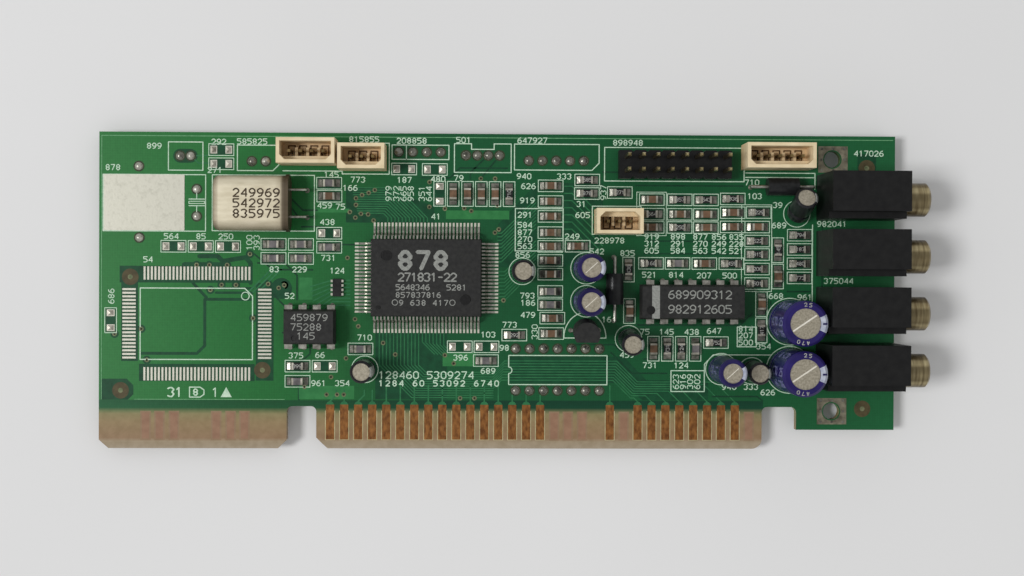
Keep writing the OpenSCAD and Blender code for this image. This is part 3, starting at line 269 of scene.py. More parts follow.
# Painted shade of the recesses round the header pins.
slot_shade_brown = material("slot_shade_brown", (78, 56, 34), (108, 80, 50), 0.6, 0.0, 1200, 0.2)
shadow_soft = material("shadow_soft", (136, 112, 86), (147, 122, 96), 0.5, 0.0, 700, 0.2)
print_brown = material("print_brown", (56, 46, 34), (84, 70, 52), 0.6, 0.0, 2000, 0.2)
bare_tan = material("bare_tan", (66, 60, 38), (86, 76, 50), 0.5, 0.0, 1200, 0.2)
tan_shadow = material("tan_shadow", (138, 104, 82), (152, 118, 94), 0.5, 0.0, 700, 0.2)


def bushing_metal_painted_bands(node):
    """Turned brass with painted light: bright and dark bands across the bushing where its curve catches or
    misses the light, painted shade at its root, and the painted shade of a groove near its mouth.
    """
    m = material(node + "_metal", (142, 126, 92), (206, 192, 150), 0.28, 0.75, 420, 0.3, 900, (4, 0.5, 0.5))
    (_, y0, _), (x1, y1, _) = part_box(node)
    shaded(m, "Y", y0, y1, [
        (0.0, 0.2, 0.95), (0.08, 0.5, 0.96), (0.16, 0.85, 1.0), (0.24, 0.45, 0.96), (0.4, 0.6, 0.97),
        (0.62, 0.5, 0.97), (0.7, 1.0, 1.0), (0.8, 0.95, 1.0), (0.86, 0.4, 0.95), (1.0, 0.22, 0.95)])
    return shaded(m, "X", x1 - 0.0045, x1, [
        (0.0, 0.35, 0.96), (0.1, 0.8, 1.0), (0.66, 1.0, 1.0), (0.7, 0.6, 0.98), (0.76, 1.0, 1.0),
        (1.0, 0.9, 1.0)])


PAINT = {
    "circuit_board": board_green, "edge_contacts_front": gold, "edge_contacts_back": gold,
    "bracket_pads": pad_dull, "tinned_pads": tin_flat, "solder_joints": solder, "crystal_can": crystal_metal,
    "crystal_base": crystal_metal, "jumper_block_base": black_plastic, "ferrite_beads": ferrite,
    "regulator_body": chip_black, "resistor_network_body": resistor_ceramic,
    "resistor_network_ends": tin, "chip_resistor_bodies": resistor_ceramic,
    "chip_capacitor_bodies": capacitor_ceramic, "chip_inductor_bodies": inductor_ceramic,
    "chip_end_caps": end_metal, "large_capacitor_sleeves": blue_sleeve,
    "medium_capacitor_sleeves": dark_blue_sleeve, "jumper_block_pins": jumper_pin,
    **{f"header_{k}_pins": plug_pin_painted_shade for k in ("4way", "5way", "3way_top", "3way_mid")},
}
ENDINGS = [
    ("_bungs", rubber), ("_cans", aluminium), ("_sleeves", black_sleeve), ("_shell", ivory_painted_shade),
    ("_pins", pin_metal), ("_leads", lead_metal), ("_wires", lead_metal), ("_body", chip_black),
]


def finish_of(node):
    """The material of a CAD node, by its name, by the start of its name or by its ending."""
    if node in PAINT:
        return PAINT[node]
    if node.startswith("jack_housing"):
        return black_plastic
    if node.startswith("jack_bushing"):
        return bushing_metal_painted_bands(node)
    if node.startswith("jack_contacts"):
        return pin_metal
    return next(m for ending, m in ENDINGS if node.endswith(ending))


for node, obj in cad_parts.items():
    finish = finish_of(node)
    for socket in obj.material_slots:
        socket.material = finish
    if not obj.material_slots:
        obj.data.materials.append(finish)


# ---------------------------------------------------------------- thin printed shapes


def add_piece(name, points, faces, finish, smooth=False):
    """One closed piece from millimetre points, fixed to the card."""
    mesh = bpy.data.meshes.new(name)
    mesh.from_pydata(metres(points).tolist(), [], faces)
    mesh.materials.append(finish)
    if smooth:
        mesh.polygons.foreach_set("use_smooth", np.ones(len(mesh.polygons), bool))
    mesh.update()
    obj = bpy.data.objects.new(name, mesh)
    scene.collection.objects.link(obj)
    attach(obj, "root")
    return obj


class Layer:
    """Flat shapes of one print or copper layer, each a closed plate between two heights."""

    def __init__(self, low, high):
        self.low, self.high = low, high
        self.points, self.faces, self.count, self.shapes = [], [], 0, 0

    def steps(self, k):
        """Tiny rises, different for neighbouring shapes, so that crossing shapes never share a plane."""
        rise = (self.shapes + np.arange(k)) % 9 * 0.0008
        self.shapes += k
        return rise

    def plates(self, outlines):
        """Outlines of n points each, anticlockwise, pulled up from the low to the high level."""
        p = np.asarray(outlines, float)
        k, n = p.shape[:2]
        rim = np.concatenate([p, p], 1)
        level = np.repeat([self.low, self.high], n)[None, :, None] + self.steps(k)[:, None, None]
        self.points.append(np.concatenate([rim, level], 2).reshape(-1, 3))
        base = self.count + np.arange(k)[:, None] * 2 * n
        i = np.arange(n)
        j = (i + 1) % n
        sides = np.stack([base + i, base + j, base + n + j, base + n + i], -1).reshape(-1, 4)
        self.faces += sides.tolist() + (base + n + i).tolist() + (base + i[::-1]).tolist()
        self.count += k * 2 * n

    def shape(self, *corners):
        """One plate with these corners, in either sense."""
        p = np.array(corners, float)
        x, y = p.T
        if np.sum(x * np.roll(y, -1) - np.roll(x, -1) * y) < 0:
            p = p[::-1]
        self.plates(p[None])

    def rect(self, x0, y0, x1, y1):
        """A rectangle between two corners."""
        self.shape((x0, y0), (x1, y0), (x1, y1), (x0, y1))

    def strokes(self, segments, r, ends=4):
        """Straight lines x0, y0, x1, y1 with round ends: half circles of radius r about both ends."""
        s = np.asarray(segments, float).reshape(-1, 4)
        a, b = s[:, None, :2], s[:, None, 2:]
        way = b - a
        length = np.hypot(way[..., :1], way[..., 1:])
        u = np.where(length > 1e-9, way / np.maximum(length, 1e-9), [1.0, 0.0])
        v = np.concatenate([-u[..., 1:], u[..., :1]], -1)
        t = np.linspace(-math.pi / 2, math.pi / 2, ends)[None, :, None]
        arm = r * (np.cos(t) * u + np.sin(t) * v)
        self.plates(np.concatenate([b + arm, a - arm], 1))

    def path(self, points, r, ends=4):
        """A line through the points, of half width r."""
        p = np.asarray(points, float)
        self.strokes(np.concatenate([p[:-1], p[1:]], 1), r, ends)

    def frame(self, x0, y0, x1, y1, r):
        """The outline of a rectangle, drawn with half width r."""
        self.path([(x0, y0), (x1, y0), (x1, y1), (x0, y1), (x0, y0)], r)

    def discs(self, centres, r, n=14):
        """Round plates: a circle of n points about each centre."""
        t = np.arange(n) * 2 * math.pi / n
        ring = np.stack([np.cos(t), np.sin(t)], -1) * r
        self.plates(np.asarray(centres, float).reshape(-1, 1, 2) + ring)

    def rings(self, centres, r_in, r_out, n=20):
        """Flat rings: a rectangle turned once about each centre."""
        c = np.asarray(centres, float).reshape(-1, 1, 1, 2)
        k = len(c)
        t = np.arange(n) * 2 * math.pi / n
        way = np.stack([np.cos(t), np.sin(t)], -1)[None, :, None]
        r = np.array([r_out, r_out, r_in, r_in])[None, None, :, None]
        z = np.array([self.low, self.high, self.high, self.low])[None, None, :, None]
        flat = c + way * r
        z = z + self.steps(k)[:, None, None, None] + np.zeros((1, n, 1, 1))
        self.points.append(np.concatenate([flat, z], -1).reshape(-1, 3))
        i = np.arange(n)[:, None]
        m = np.arange(4)[None, :]
        one = np.stack([i * 4 + m, (i + 1) % n * 4 + m, (i + 1) % n * 4 + (m + 1) % 4,
                        i * 4 + (m + 1) % 4], -1).reshape(-1, 4)
        base = self.count + np.arange(k)[:, None, None] * 4 * n
        self.faces += (base + one).reshape(-1, 4).tolist()
        self.count += k * 4 * n

    def text(self, digits, x, y, height, r, turn=0, advance=0.86):
        """A number in plain strokes, its lower left corner at x, y, turned by degrees."""
        c, s = math.cos(math.radians(turn)), math.sin(math.radians(turn))
        rows = []
        for k, d in enumerate(digits):
            if d == " ":
                continue
            g = GLYPHS[d] * [height * 1.14, height] + [k * advance * height, 0]
            g = np.stack([x + g[:, 0] * c - g[:, 1] * s, y + g[:, 0] * s + g[:, 1] * c], -1)
            rows.append(np.concatenate([g[:-1], g[1:]], 1))
        if rows:
            self.strokes(np.concatenate(rows), r, 3)

    def make(self, name, finish, slot):
        """All shapes of the layer as one piece."""
        return add_piece(name, np.concatenate(self.points), self.faces, finish)


# Figures as lines through points on a grid 6 wide and 10 high.
GLYPHS = {d: np.array(p) * 0.1 for d, p in {
    "0": [(0, 2), (0, 8), (2, 10), (4, 10), (6, 8), (6, 2), (4, 0), (2, 0), (0, 2)],
    "1": [(1, 8), (3, 10), (3, 0)],
    "2": [(0, 8), (2, 10), (4, 10), (6, 8), (6, 6), (0, 0), (6, 0)],
    "3": [(0, 9), (2, 10), (4, 10), (6, 8), (4, 5), (6, 3), (4, 0), (2, 0), (0, 1)],
    "4": [(5, 0), (5, 10), (0, 3), (6, 3)],
    "5": [(6, 10), (0, 10), (0, 6), (4, 6), (6, 4), (6, 2), (4, 0), (0, 0)],
    "6": [(5, 10), (2, 9), (0, 5), (0, 2), (2, 0), (4, 0), (6, 2), (6, 4), (4, 6), (1, 5)],
    "7": [(0, 10), (6, 10), (2, 0)],
    "8": [(2, 5), (0, 7), (2, 10), (4, 10), (6, 7), (4, 5), (2, 5), (0, 3), (2, 0), (4, 0), (6, 3), (4, 5)],
    "9": [(1, 0), (4, 1), (6, 5), (6, 8), (4, 10), (2, 10), (0, 8), (0, 6), (2, 4), (6, 5)],
    "-": [(1, 5), (5, 5)],
}.items()}


def number(k, places):
    """A plain number with this many places, different for each k."""
    return str((k * 37 + 101) * 7919 % 900000 + 100000)[:places]


# One layer per finish. Its height over the board is what lets a later one cover an earlier one.
haze = Layer(SINK, 0.002)
shadow = Layer(SINK, 0.012)
dark = Layer(SINK, 0.010)
pour = Layer(SINK, 0.018)
trace = Layer(SINK, 0.026)
silk = Layer(SINK, 0.036)
ring = Layer(SINK, 0.034)
core = Layer(SINK, 0.037)
bare = Layer(SINK, 0.020)
rim = Layer(SINK, 0.020)

# ---------------------------------------------------------------- positions shared with the CAD


def down(x, *heights):
    """Places one under another, at one x."""
    return [(x, y) for y in heights]


def chip_places(lying, across):
    """Chip places as x, y and 0, or 1 for those that stand across the board."""
    return [(x, y, 0) for x, y in lying] + [(x, y, 1) for x, y in across]


RESISTORS = chip_places(
    [(35.75, 14.95), (75, 20.7), (88.15, 48.95), (88.1, 46.5), (94.1, 46.7), (99.95, 42.8), (105.05, 45.45),
     (105.05, 40.4), (109.85, 45.45), (114.75, 45.65), (119.5, 43.2), *down(119.25, 38, 35.55, 32.9, 30.25),
     *down(127.05, 39.1, 36.5, 33.9, 31.3), (99.85, 33.85), (114.55, 33.85), (111.8, 19.45)],
    [(123.05, 36.35), (95.75, 32.7), (102.9, 18.3), (105.45, 18.3), (120.1, 21.7), (73.95, 46.3)])
CAPACITORS = chip_places(
    [(41.4, 45.75), *down(81.5, 47.85, 45, 42.3, 39.35, 36.85, 34.3, 31.8), (81.9, 23.8), (81.7, 21),
     (86.45, 36.9), *down(99.95, 45.45, 40.4), (105.05, 42.8), *down(109.85, 42.8, 40.4),
     *down(114.75, 43.15, 40.55), (119.25, 40.55), (109.6, 33.85)],
    [(63.8, 46.3), (66.4, 46.3), (68.9, 46.3), (71.4, 46.3), (123.05, 31.55), (95.95, 25.15), (100.35, 18.3),
     (120.1, 26.5)])
INDUCTORS = chip_places(
    [*down(31.35, 37, 34.45), *down(36.3, 37, 34.45), (41.35, 48.1), (41.4, 36.5), (35.75, 12.2),
     (47.1, 18.1), (69.85, 16.05), *down(81.5, 28.65, 26.25), (104.7, 33.85)],
    [(108, 18.3)])
EMPTY = chip_places(
    [*down(21.9, 54.05, 51.5), (13.35, 36.55), (18.25, 36.55), (23.15, 36.55), (41.4, 39.05), (40.65, 14.95),
     (54.9, 50.75), (60.45, 50.7), (65.1, 18.55), (69.95, 18.55)],
    [(2.1, 23.15), (61.35, 46.3)])
LARGE = [(125.3, 23.3), (125.3, 14.5)]
MEDIUM = [(88.1, 32.9), (88.1, 26.9), (112.8, 14.6)]
SMALL = [(76.4, 32.3), (47.9, 14.4), (95.8, 20.1), (118.4, 14.3), (126.5, 43)]
BRACKET_HOLES = [(132.98, 6.95), (132.98, 52.95)]
CHIPS = RESISTORS + CAPACITORS + INDUCTORS + EMPTY
# Contacts of the front face: of the thirty places, the 17th to 20th and the 22nd are bare.
FRONT = [FIRST_CONTACT + PITCH * i for i in range(30) if i < 16 or i == 20 or i > 21]
# Back contacts that show through the bare laminate.
BACK_SHOWS = (8.4, 10.9, 13.5, 21.1, 23.7, 26.2, 82.3, 84.8, 87.4, 95.0, 117.9)

# Holes of parts that aren't fitted, filled with solder.
PAIR_HOLES = [(14.5, 52.9), (16.4, 52.9), (27.4, 52), (29.9, 52)]
CRYSTAL_HOLES = [(17.5, 46.9), (17.5, 42)]
LONE_HOLES = [(7.1, 51), (7.2, 38.1)]
TOP_HOLES = [(53.9 + PITCH * k, 53.85) for k in range(4)]
CLOSE_HOLES = [(66.1 + 2.03 * k, 53.3) for k in range(4)]
WIDE_HOLES = [(77.5 + 2.5 * k, 52.4) for k in range(5)]
SOCKET_HOLES = [(82.88 + PITCH * (k - 3), 14.42 + side * 3.81) for k in range(7) for side in (-1, 1)]
FILLED = PAIR_HOLES + CRYSTAL_HOLES + LONE_HOLES + TOP_HOLES + WIDE_HOLES + CLOSE_HOLES + SOCKET_HOLES
BRIGHT = PAIR_HOLES[1::2] + CRYSTAL_HOLES + LONE_HOLES


def half_sizes(up, inset=0.0):
    """Half sizes along X and Y of the printed frame round a chip place, less an inset."""
    along, across = 2.25 - inset, 1.05 - inset
    return (across, along) if up else (along, across)


# ---------------------------------------------------------------- copper and mask

# Windows in the copper round the round marks at the upper right and the lower left.
dark.rect(137.6, 50.3, 141.0, 54.0)
dark.shape((0.3, 8.8), (5.2, 8.8), (6.2, 9.8), (6.2, 11.4), (5.0, 12.6), (0.3, 12.6))
# Back contacts through the bare laminate, each in a paler haze 0.3 wider all round.
for x in BACK_SHOWS:
    shadow.rect(x - 0.65, 1.8, x + 0.65, 6.5)
    haze.rect(x - 0.95, 1.5, x + 0.95, 6.8)
# Backgrounds of the empty land pattern at the left.
dark.shape((4, 15.8), (7.0, 15.8), (7.0, 30.0), (4, 30.0))
dark.rect(3.7, 30.0, 27.3, 33.0)
dark.rect(7.2, 12.2, 28.0, 15.3)
dark.shape((28.2, 12.3), (31.4, 12.3), (31.4, 27.2), (33.4, 28.4), (33.4, 30.0), (28.2, 30.0))
dark.path([(7.5, 17.2), (17.6, 17.2), (19, 18.6), (19, 27), (27.4, 27)], 0.26)
dark.path([(16.8, 30), (19.3, 27.3)], 0.26)
dark.path([(21.0, 28.2), (27.6, 28.2)], 0.22)
dark.path([(21.6, 29.0), (27.6, 29.0)], 0.22)
dark.path([(15.3, 33.2), (23, 33.2)], 0.5)
dark.path([(18, 34.8), (21.3, 34.8), (22.2, 33.9), (26.3, 34.6), (27.2, 33.6), (27.2, 30)], 0.4)
dark.discs([(32.8, 29)], 1.9, 28)
for k in range(3):
    trace.path([(26.8 + 0.9 * k, 28.3), (31.4 + 0.9 * k, 32.9)], 0.14)
# Grounds of the filled holes, two leading traces and the upright gap above the key notch.
dark.strokes([(14.5, 52.9, 16.4, 52.9)], 1.25, 10)
trace.path([(16.4, 52.9), (19.5, 53)], 0.12)
trace.path([(16.4, 52.9), (17.8, 51.6), (19.5, 51.6)], 0.12)
dark.discs(PAIR_HOLES[2:3] + CRYSTAL_HOLES, 0.98, 24)
dark.discs(CLOSE_HOLES + WIDE_HOLES[::2], 1.0, 24)
dark.path([(36, 8.8), (36, 11.6)], 0.18)
LEFT_VIAS = [(22, 29.6), (24.6, 29.6), (20, 28.7), (30.4, 29.8), (32.3, 29.1), (33.3, 29.6),
             (27.1, 35.2), (7.6, 21.6), (27.7, 23.6), (8.6, 16.0), (2.8, 20.7), (17.5, 33.2),
             (19.8, 33.2), (23, 33.2)]
MID_VIAS = [(46.2, 45.4), (47.3, 46), (48.5, 46.4), (49.6, 46.9), (46.2, 44.2), (45.1, 42.9),
            (47.1, 42.6), (48.4, 42.5), (46.1, 41.9), (49.4, 41.4), (59.5, 48.4), (59.5, 43.9),
            (62.3, 43.6), (65.8, 43.7), (67.1, 43.2), (68.8, 49.1), (71.4, 49.1), (72.1, 39.9),
            (71.4, 39.3), (71.8, 44.2), (51.2, 19.2), (53.4, 17.1), (62.4, 17), (64, 15.5),
            (44.5, 16.4), (41.8, 13), (41, 9.8), (42.9, 9.8), (44.1, 9.8), (37, 11.2),
            (65.2, 9.2), (67.8, 9.2), (46.1, 23.5), (46.7, 22.2), (73, 27), (44.7, 34.6)]
dark.discs(LEFT_VIAS, 0.75, 16)
ring.rings(LEFT_VIAS + MID_VIAS, 0.2, 0.42, 14)
# Painted shade: dark brown discs stand in for the open via holes.
core.discs(LEFT_VIAS + MID_VIAS, 0.21, 10)
# Round marks: a tan window with a small metal ring in its middle.
MARKS = [(5.6, 31.0), (29.4, 14.2), (3.9, 10.5), (139.3, 51.4), (138.7, 7.4)]
bare.discs(MARKS, 1.5, 28)
ring.rings(MARKS, 0.02, 0.45, 16)

# Darker ground under the dense copper of the middle, with lighter traces over it.
dark.rect(49.8, 9.0, 62.8, 21.4)
dark.shape((44.4, 41.0), (60.4, 41.0), (60.4, 44.0), (51.0, 47.4), (44.4, 47.4))
dark.shape((74.2, 12.0), (94.6, 12.0), (98.4, 8.9), (110.4, 8.9), (110.4, 12.4), (99.0, 12.6), (95.0, 16.8),
           (74.2, 16.8))
dark.shape((72.0, 33.0), (79.0, 33.0), (79.0, 48.4), (72.0, 40.8))
dark.shape((83.9, 33.0), (91.0, 37.4), (91.0, 48.4), (83.9, 48.4))
# Traces run parallel, a lead's pitch or a nested step apart, and turn at 45 degrees.
LEAD, STEP = 0.65, 0.42
fan_top, fan_bend, fan_low, fan_right = 21.2, 15.2, 9.3, 71.2
for k in range(12):
    # Down from the sound chip, right above the contacts, and, from the fifth on, over to the right contacts.
    x, run = 50.5 + LEAD * k, fan_low + STEP * k
    trace.path([(x, fan_top), (x, fan_bend), (x + fan_bend - run, run), (fan_right, run)], 0.09)
    if k > 3:
        j = k - 4
        rise, low, end = 12.5 + 0.5 * j, fan_low + STEP * j, 97.53 + PITCH * j
        turn_x = 93 + 0.1 * j
        trace.path([(fan_right, run), (fan_right + rise - run, rise), (turn_x, rise),
                    (turn_x + rise - low, low), (end - low + 8.6, low), (end, 8.6)], 0.09)
for k in range(7):
    # Short ones beside them.
    x, drop = 50.5 + LEAD * (k + 12), 0.1 * k
    trace.path([(x, fan_top), (x, 19.4 - drop), (x + 2.2, 17.2 - drop)], 0.09)
for k in range(12):
    # Up from the sound chip and to the left.
    x, y = 52.0 + LEAD * k, 42.7 + STEP * k
    trace.path([(46.6 - 0.1 * k, y), (x - y + 41.9, y), (x, 41.9), (x, 41.2)], 0.1)
for k in range(9):
    # Right of the sound chip, and right of the column of chip parts.
    step = LEAD * k
    trace.path([(71.9, 27.0 + step), (73.2, 27.0 + step), (78.8, 32.6 + step)], 0.1)
    trace.path([(71.9, 34.0 + step), (72.6, 34.0 + step), (78.8, 40.2 + step)], 0.1)
    trace.path([(84.0, 47.8 - 2 * step), (85.4, 47.8 - 2 * step), (91.0, 42.2 - 2 * step)], 0.1)
for k in range(8):
    # Left of the sound chip, and short ends under it.
    step = LEAD * k
    trace.path([(45.2, 26.0 + step), (42.0, 26.0 + step), (39.4 - 0.2 * k, 23.4 + 0.85 * k)], 0.1)
    trace.path([(54.0 + 2 * step, 23.9), (54.0 + 2 * step, 22.4)], 0.1)
# Dark gaps in the copper, and lighter patches of it.
line = Layer(SINK, 0.026)
for points in [
        [(72.2, 53.3), (68.8, 49.1)], [(70.1, 53.3), (66.9, 50.2), (66.9, 49.0)],
        [(33.2, 46.6), (36.6, 43.2), (39.2, 43.2)], [(33.2, 45.4), (35.8, 42.0), (38.6, 42.0)],
        [(28.5, 33.6), (33.4, 33.6), (35.6, 31.4), (35.6, 27.0)], [(27.9, 35.2), (31.2, 32.4), (38.4, 32.4)],
        [(36.4, 40.2), (40.4, 40.2), (43.6, 37.0), (46.0, 37.0)], [(38.0, 26.0), (38.0, 17.2), (36.4, 15.8)],
        [(58, 49.2), (63.2, 49.2), (65.0, 51.0), (73.6, 51.0)], [(91, 50.4), (95.6, 50.4), (97.4, 52.2)],
        [(97.0, 48.0), (116.6, 48.0)], [(99.4, 37.9), (116.4, 37.9)], [(98.6, 35.6), (116.6, 35.6)],
        [(97.4, 22.6), (116.2, 22.6), (118.4, 24.8)], [(98.6, 16.4), (108.8, 16.4)],
        [(92.6, 17.6), (96.4, 13.8), (102.8, 13.8)], [(84.6, 19.0), (93.2, 19.0), (94.6, 17.6)],
        [(121.8, 27.0), (121.8, 19.0)], [(129.0, 31.2), (129.0, 39.8)], [(124.8, 28.8), (129.0, 28.8)],
        [(111.2, 9.6), (119.4, 9.6), (120.4, 8.8)], [(131.2, 48.6), (131.2, 27.4)],
        [(36.6, 21.0), (33.0, 21.0)], [(33.4, 25.8), (30.8, 28.4), (30.8, 30.2)]]:
    line.path(points, 0.14)
for x0, y0, x1, y1 in [(62.5, 41.7, 74, 43.3), (39, 42.8, 45, 43.5), (36, 27, 38.4, 31),
                       (36, 9, 46, 11.4), (62, 15, 68, 17.5)]:
    pour.rect(x0, y0, x1, y1)

# Rounded mask ends above the contacts, each with its trace, which is short on the right.
for k, x in enumerate(FRONT):
    rim.rect(x - 0.9, 1.56, x + 0.9, 6.9)
    trace.strokes([(x, 7.5, x, 7.9)], 0.72, 8)
    lean = 1.1 if k in (0, 2) else 0.0
    way = [(x, 7.8), (x, 8.6), (x + lean, 9.7), (x + lean, 10.6 if k < 4 else 11.5)]
    trace.path(way[:2] if x > 95 else way, 0.13)

# Thin clearances round the pads of every chip place.
for x, y, up in CHIPS:
    w, h = half_sizes(up, 0.15)
    dark.rect(x - w, y - h, x + w, y + h)

# ---------------------------------------------------------------- silkscreen

# Frames round the chip places, and outlines of larger parts.
for x, y, up in CHIPS:
    w, h = half_sizes(up)
    silk.frame(x - w, y - h, x + w, y + h, 0.07)
for box in [(43.7, 49.8, 52.2, 55.4), (52.7, 52.5, 63.0, 55.1), (12.4, 50.3, 18.6, 55.4),
            (91.3, 48.8, 116.8, 54.9), (89.1, 39.1, 98.0, 44.2), (75.1, 36.0, 83.8, 43.7),
            (103.6, 10.5, 109.7, 14.3), (115.7, 18.7, 119.2, 22.3), (0.7, 39.3, 19.1, 49.5),
            (20.3, 39.4, 38.7, 49.5)]:
    silk.frame(*box, 0.09)
# Outlines with cut corners or notches along the top, and the empty socket under the sound chip.
for points in [
        [(55.3, 52.5), (55.3, 55.1)],
        [(64, 50.2), (74.3, 50.2), (74.3, 55.4), (71.2, 55.4), (71.2, 54.4), (67.1, 54.4), (67.1, 55.4),
         (64, 55.4), (64, 50.2)],
        [(74.9, 50.7), (89, 50.7), (90.3, 52), (90.3, 55.4), (74.9, 55.4), (74.9, 50.7)],
        [(24.8, 54.9), (24.8, 50.3), (31.2, 50.3), (32.3, 51.4), (32.3, 54.9), (24.8, 54.9)],
        [(117.1, 50.4), (129.8, 50.4)], [(117.1, 49.6), (129.8, 49.6)], [(129.8, 47.5), (129.8, 50.3)],
        [(33, 50.3), (43.7, 50.3)],
        [(74, 14.9), (74, 17), (91.9, 17), (91.9, 11.7), (74, 11.7), (74, 13.7)]]:
    silk.path(points, 0.09)
# The socket's notch, half a circle.
notch = np.radians(np.linspace(-90, 90, 9))
silk.path(np.stack([74 + 0.6 * np.cos(notch), 14.3 + 0.6 * np.sin(notch)], -1), 0.09)
silk.path([(129.4, 27), (129.4, 41)], 0.09)
# The empty four-sided chip, one corner cut, with a small ring in it.
silk.path([(7.4, 16.1), (27.6, 16.1), (27.6, 27.6), (26.2, 29.0), (7.4, 29.0), (7.4, 16.1)], 0.1)
silk.rings([(26.3, 27.6)], 0.62, 0.78, 24)
# The sign of a crystal: two plates, the block between them and a line to each hole.
for y in (45.1, 43.9):
    silk.path([(16.1, y), (18.9, y)], 0.09)
silk.frame(16.1, 44.3, 18.9, 44.7, 0.07)
for low, high in ((46.2, 45.1), (43.9, 42.8)):
    silk.path([(17.5, low), (17.5, high)], 0.08)
# Faint lines along the board's edges.
thin = Layer(SINK, 0.030)
thin.path([(0.45, 8.9), (0.45, BOARD_WIDTH - 0.7), (BOARD_LENGTH - 0.4, BOARD_WIDTH - 0.7)], 0.06)
thin.path([(6.4, 8.9), (33.4, 8.9)], 0.05)
# Rings round the capacitors, and the regulator's outline: half an ellipse over a line.
silk.rings(SMALL, 2.35, 2.5, 40)
silk.rings(MEDIUM, 2.8, 2.95, 40)
silk.rings(LARGE, 4.2, 4.36, 56)
silk.path([(109.7, 12.0), (109.7, 15.5), (111.3, 17.2), (122, 17.2)], 0.08)
silk.path([(84, 20.2), (91.7, 20.2)], 0.09)
arc = np.radians(np.linspace(0, 180, 20))
silk.path(np.stack([87.85 + 3.85 * np.cos(arc), 20.2 + 4.6 * np.sin(arc)], -1), 0.09)
silk.frame(97.2, 38.9, 102.6, 46.8, 0.06)
silk.frame(116.4, 28.8, 121.9, 44.6, 0.06)

# Labels from x to x at a height y, and upright ones at x from y to y: plain numbers that fill their room.
LABELS = [
    (8.6, 54.2, 11.4), (20.2, 55, 23.2), (24.8, 55.1, 31.2), (1.2, 50.3, 4.3), (19.5, 49.9, 22.4),
    (11.7, 37.9, 14.7), (17.5, 37.9, 19.4), (21.5, 37.9, 24.7), (8, 33.7, 9.6), (30.7, 32, 32.4),
    (34.8, 32.0, 38), (33.5, 27.2, 35.5), (45, 55.6, 50.5), (53.6, 55.4, 59), (64.4, 55.6, 67.2),
    (64, 48.7, 65.6), (53.7, 48.3, 56.5), (59.8, 48.5, 62.4), (45.3, 48.3, 48), (43.9, 46.8, 46.7),
    (39.3, 43.6, 42), (42.6, 43.4, 44.4), (40.5, 49.2, 43.3), (39.8, 40.6, 42.6), (40, 34.1, 42.8),
    (41.6, 31.8, 44.2), (59.9, 41.7, 61.8), (46.6, 19.7, 49.3), (69, 20.3, 71.8), (64, 16.1, 66.8),
    (69, 13.7, 71.6), (72.4, 17.9, 74.3), (34.2, 16.4, 37), (39, 16.5, 41), (38.3, 11.4, 41),
    (42.6, 11.4, 45.5), (75.5, 55.6, 81.6), (75.4, 49.1, 78.2), (82.7, 49.1, 85.5), (76.2, 47.3, 79),
    (76, 44.7, 79), (86.3, 44.1, 88.4), (86.1, 42.1, 89), (92.9, 55.3, 106.8),
    *[(75.6, y, 78.3) for y in (42.1, 40.25, 38.9, 37.65, 36.4)], (75.2, 34.8, 78.1),
    (84.2, 38.2, 87), (88.7, 35.5, 91.5), (94.3, 35.2, 97.1), (89.6, 37.5, 96.7), (98.3, 31.3, 101),
    (103.2, 31.3, 106), (108.3, 31.2, 111), (113, 31.2, 115.8), (76.1, 27.4, 79), (76.2, 26.1, 79),
    (76.2, 23.9, 79), (72.9, 22.1, 75.8), (91, 23.1, 92.6), (94.3, 16.7, 97.1), (98, 20.9, 100),
    (101.5, 20.9, 104.3), (106.1, 20.9, 109), (98.5, 14.8, 101.3), (104.2, 14.8, 107),
    (137, 53.6, 142.7), (117, 48.2, 120), (117.5, 45.7, 120.3), (122.2, 44.1, 124), (122, 40.4, 124.6),
    (130.3, 40.7, 136.7), (131.6, 30.3, 142), (121.5, 27.5, 124.2), (126.8, 27.3, 129.5),
    (119.3, 18.3, 122), (110.2, 21.1, 113), (113, 10.9, 115.8), (117, 10.9, 119.7), (120.1, 9.9, 122.7),
]
LABELS += [(x, y, x + 2.8) for x in (98.7, 103.5, 107.6, 111.0, 114.2) for y in (38.25, 36.98, 35.7)]
LABELS += [(116, y, 118.8) for y in (21.5, 20.3, 19.0)]
LETTER = 0.94  # height of a label, and about the room that each of its figures takes
for k, (x0, y, x1) in enumerate(LABELS):
    places = max(2, round((x1 - x0) / LETTER))
    silk.text(number(k, min(places, 6)), x0, y, LETTER, 0.085, 0, 0.99)
UPRIGHT = [(27.5, 36, 38.9), (28.8, 36, 38.9), (2.7, 26.2, 29),
           *[(x, 45, 47.8) for x in (52.6, 54, 55.3, 56.6, 58.6, 59.9)], (91.6, 45.4, 48.1),
           (79.2, 20, 22.8), *[(x, 11, 13.8) for x in (105, 106.3, 107.6, 108.9)]]
for k, (x, y0, y1) in enumerate(UPRIGHT):
    silk.text(number(k + 200, 3), x, y0, 1.0, 0.075, 90, 0.95)
silk.text("128460 5309274", 50.5, 12.75, 1.25, 0.1, 0, 1.0)
silk.text("1284 60 53092 6740", 50.5, 11.4, 0.98, 0.1, 0, 1.26)
silk.text("31", 12.4, 9.4, 1.6, 0.14, 0, 0.9)
silk.path([(16.3, 9.3), (18.2, 9.3), (18.9, 9.8), (18.9, 10.6), (18.2, 11.1), (16.3, 11.1), (16.3, 9.3)], 0.1)
silk.text("8", 17.0, 9.65, 1.1, 0.12)
silk.text("1", 20.4, 9.4, 1.55, 0.11)
silk.shape((21.9, 9.3), (23.9, 9.3), (22.9, 11.1))

edge = Layer(SINK, 0.032)
edge.rings(FILLED, 0.6, 0.98, 24)

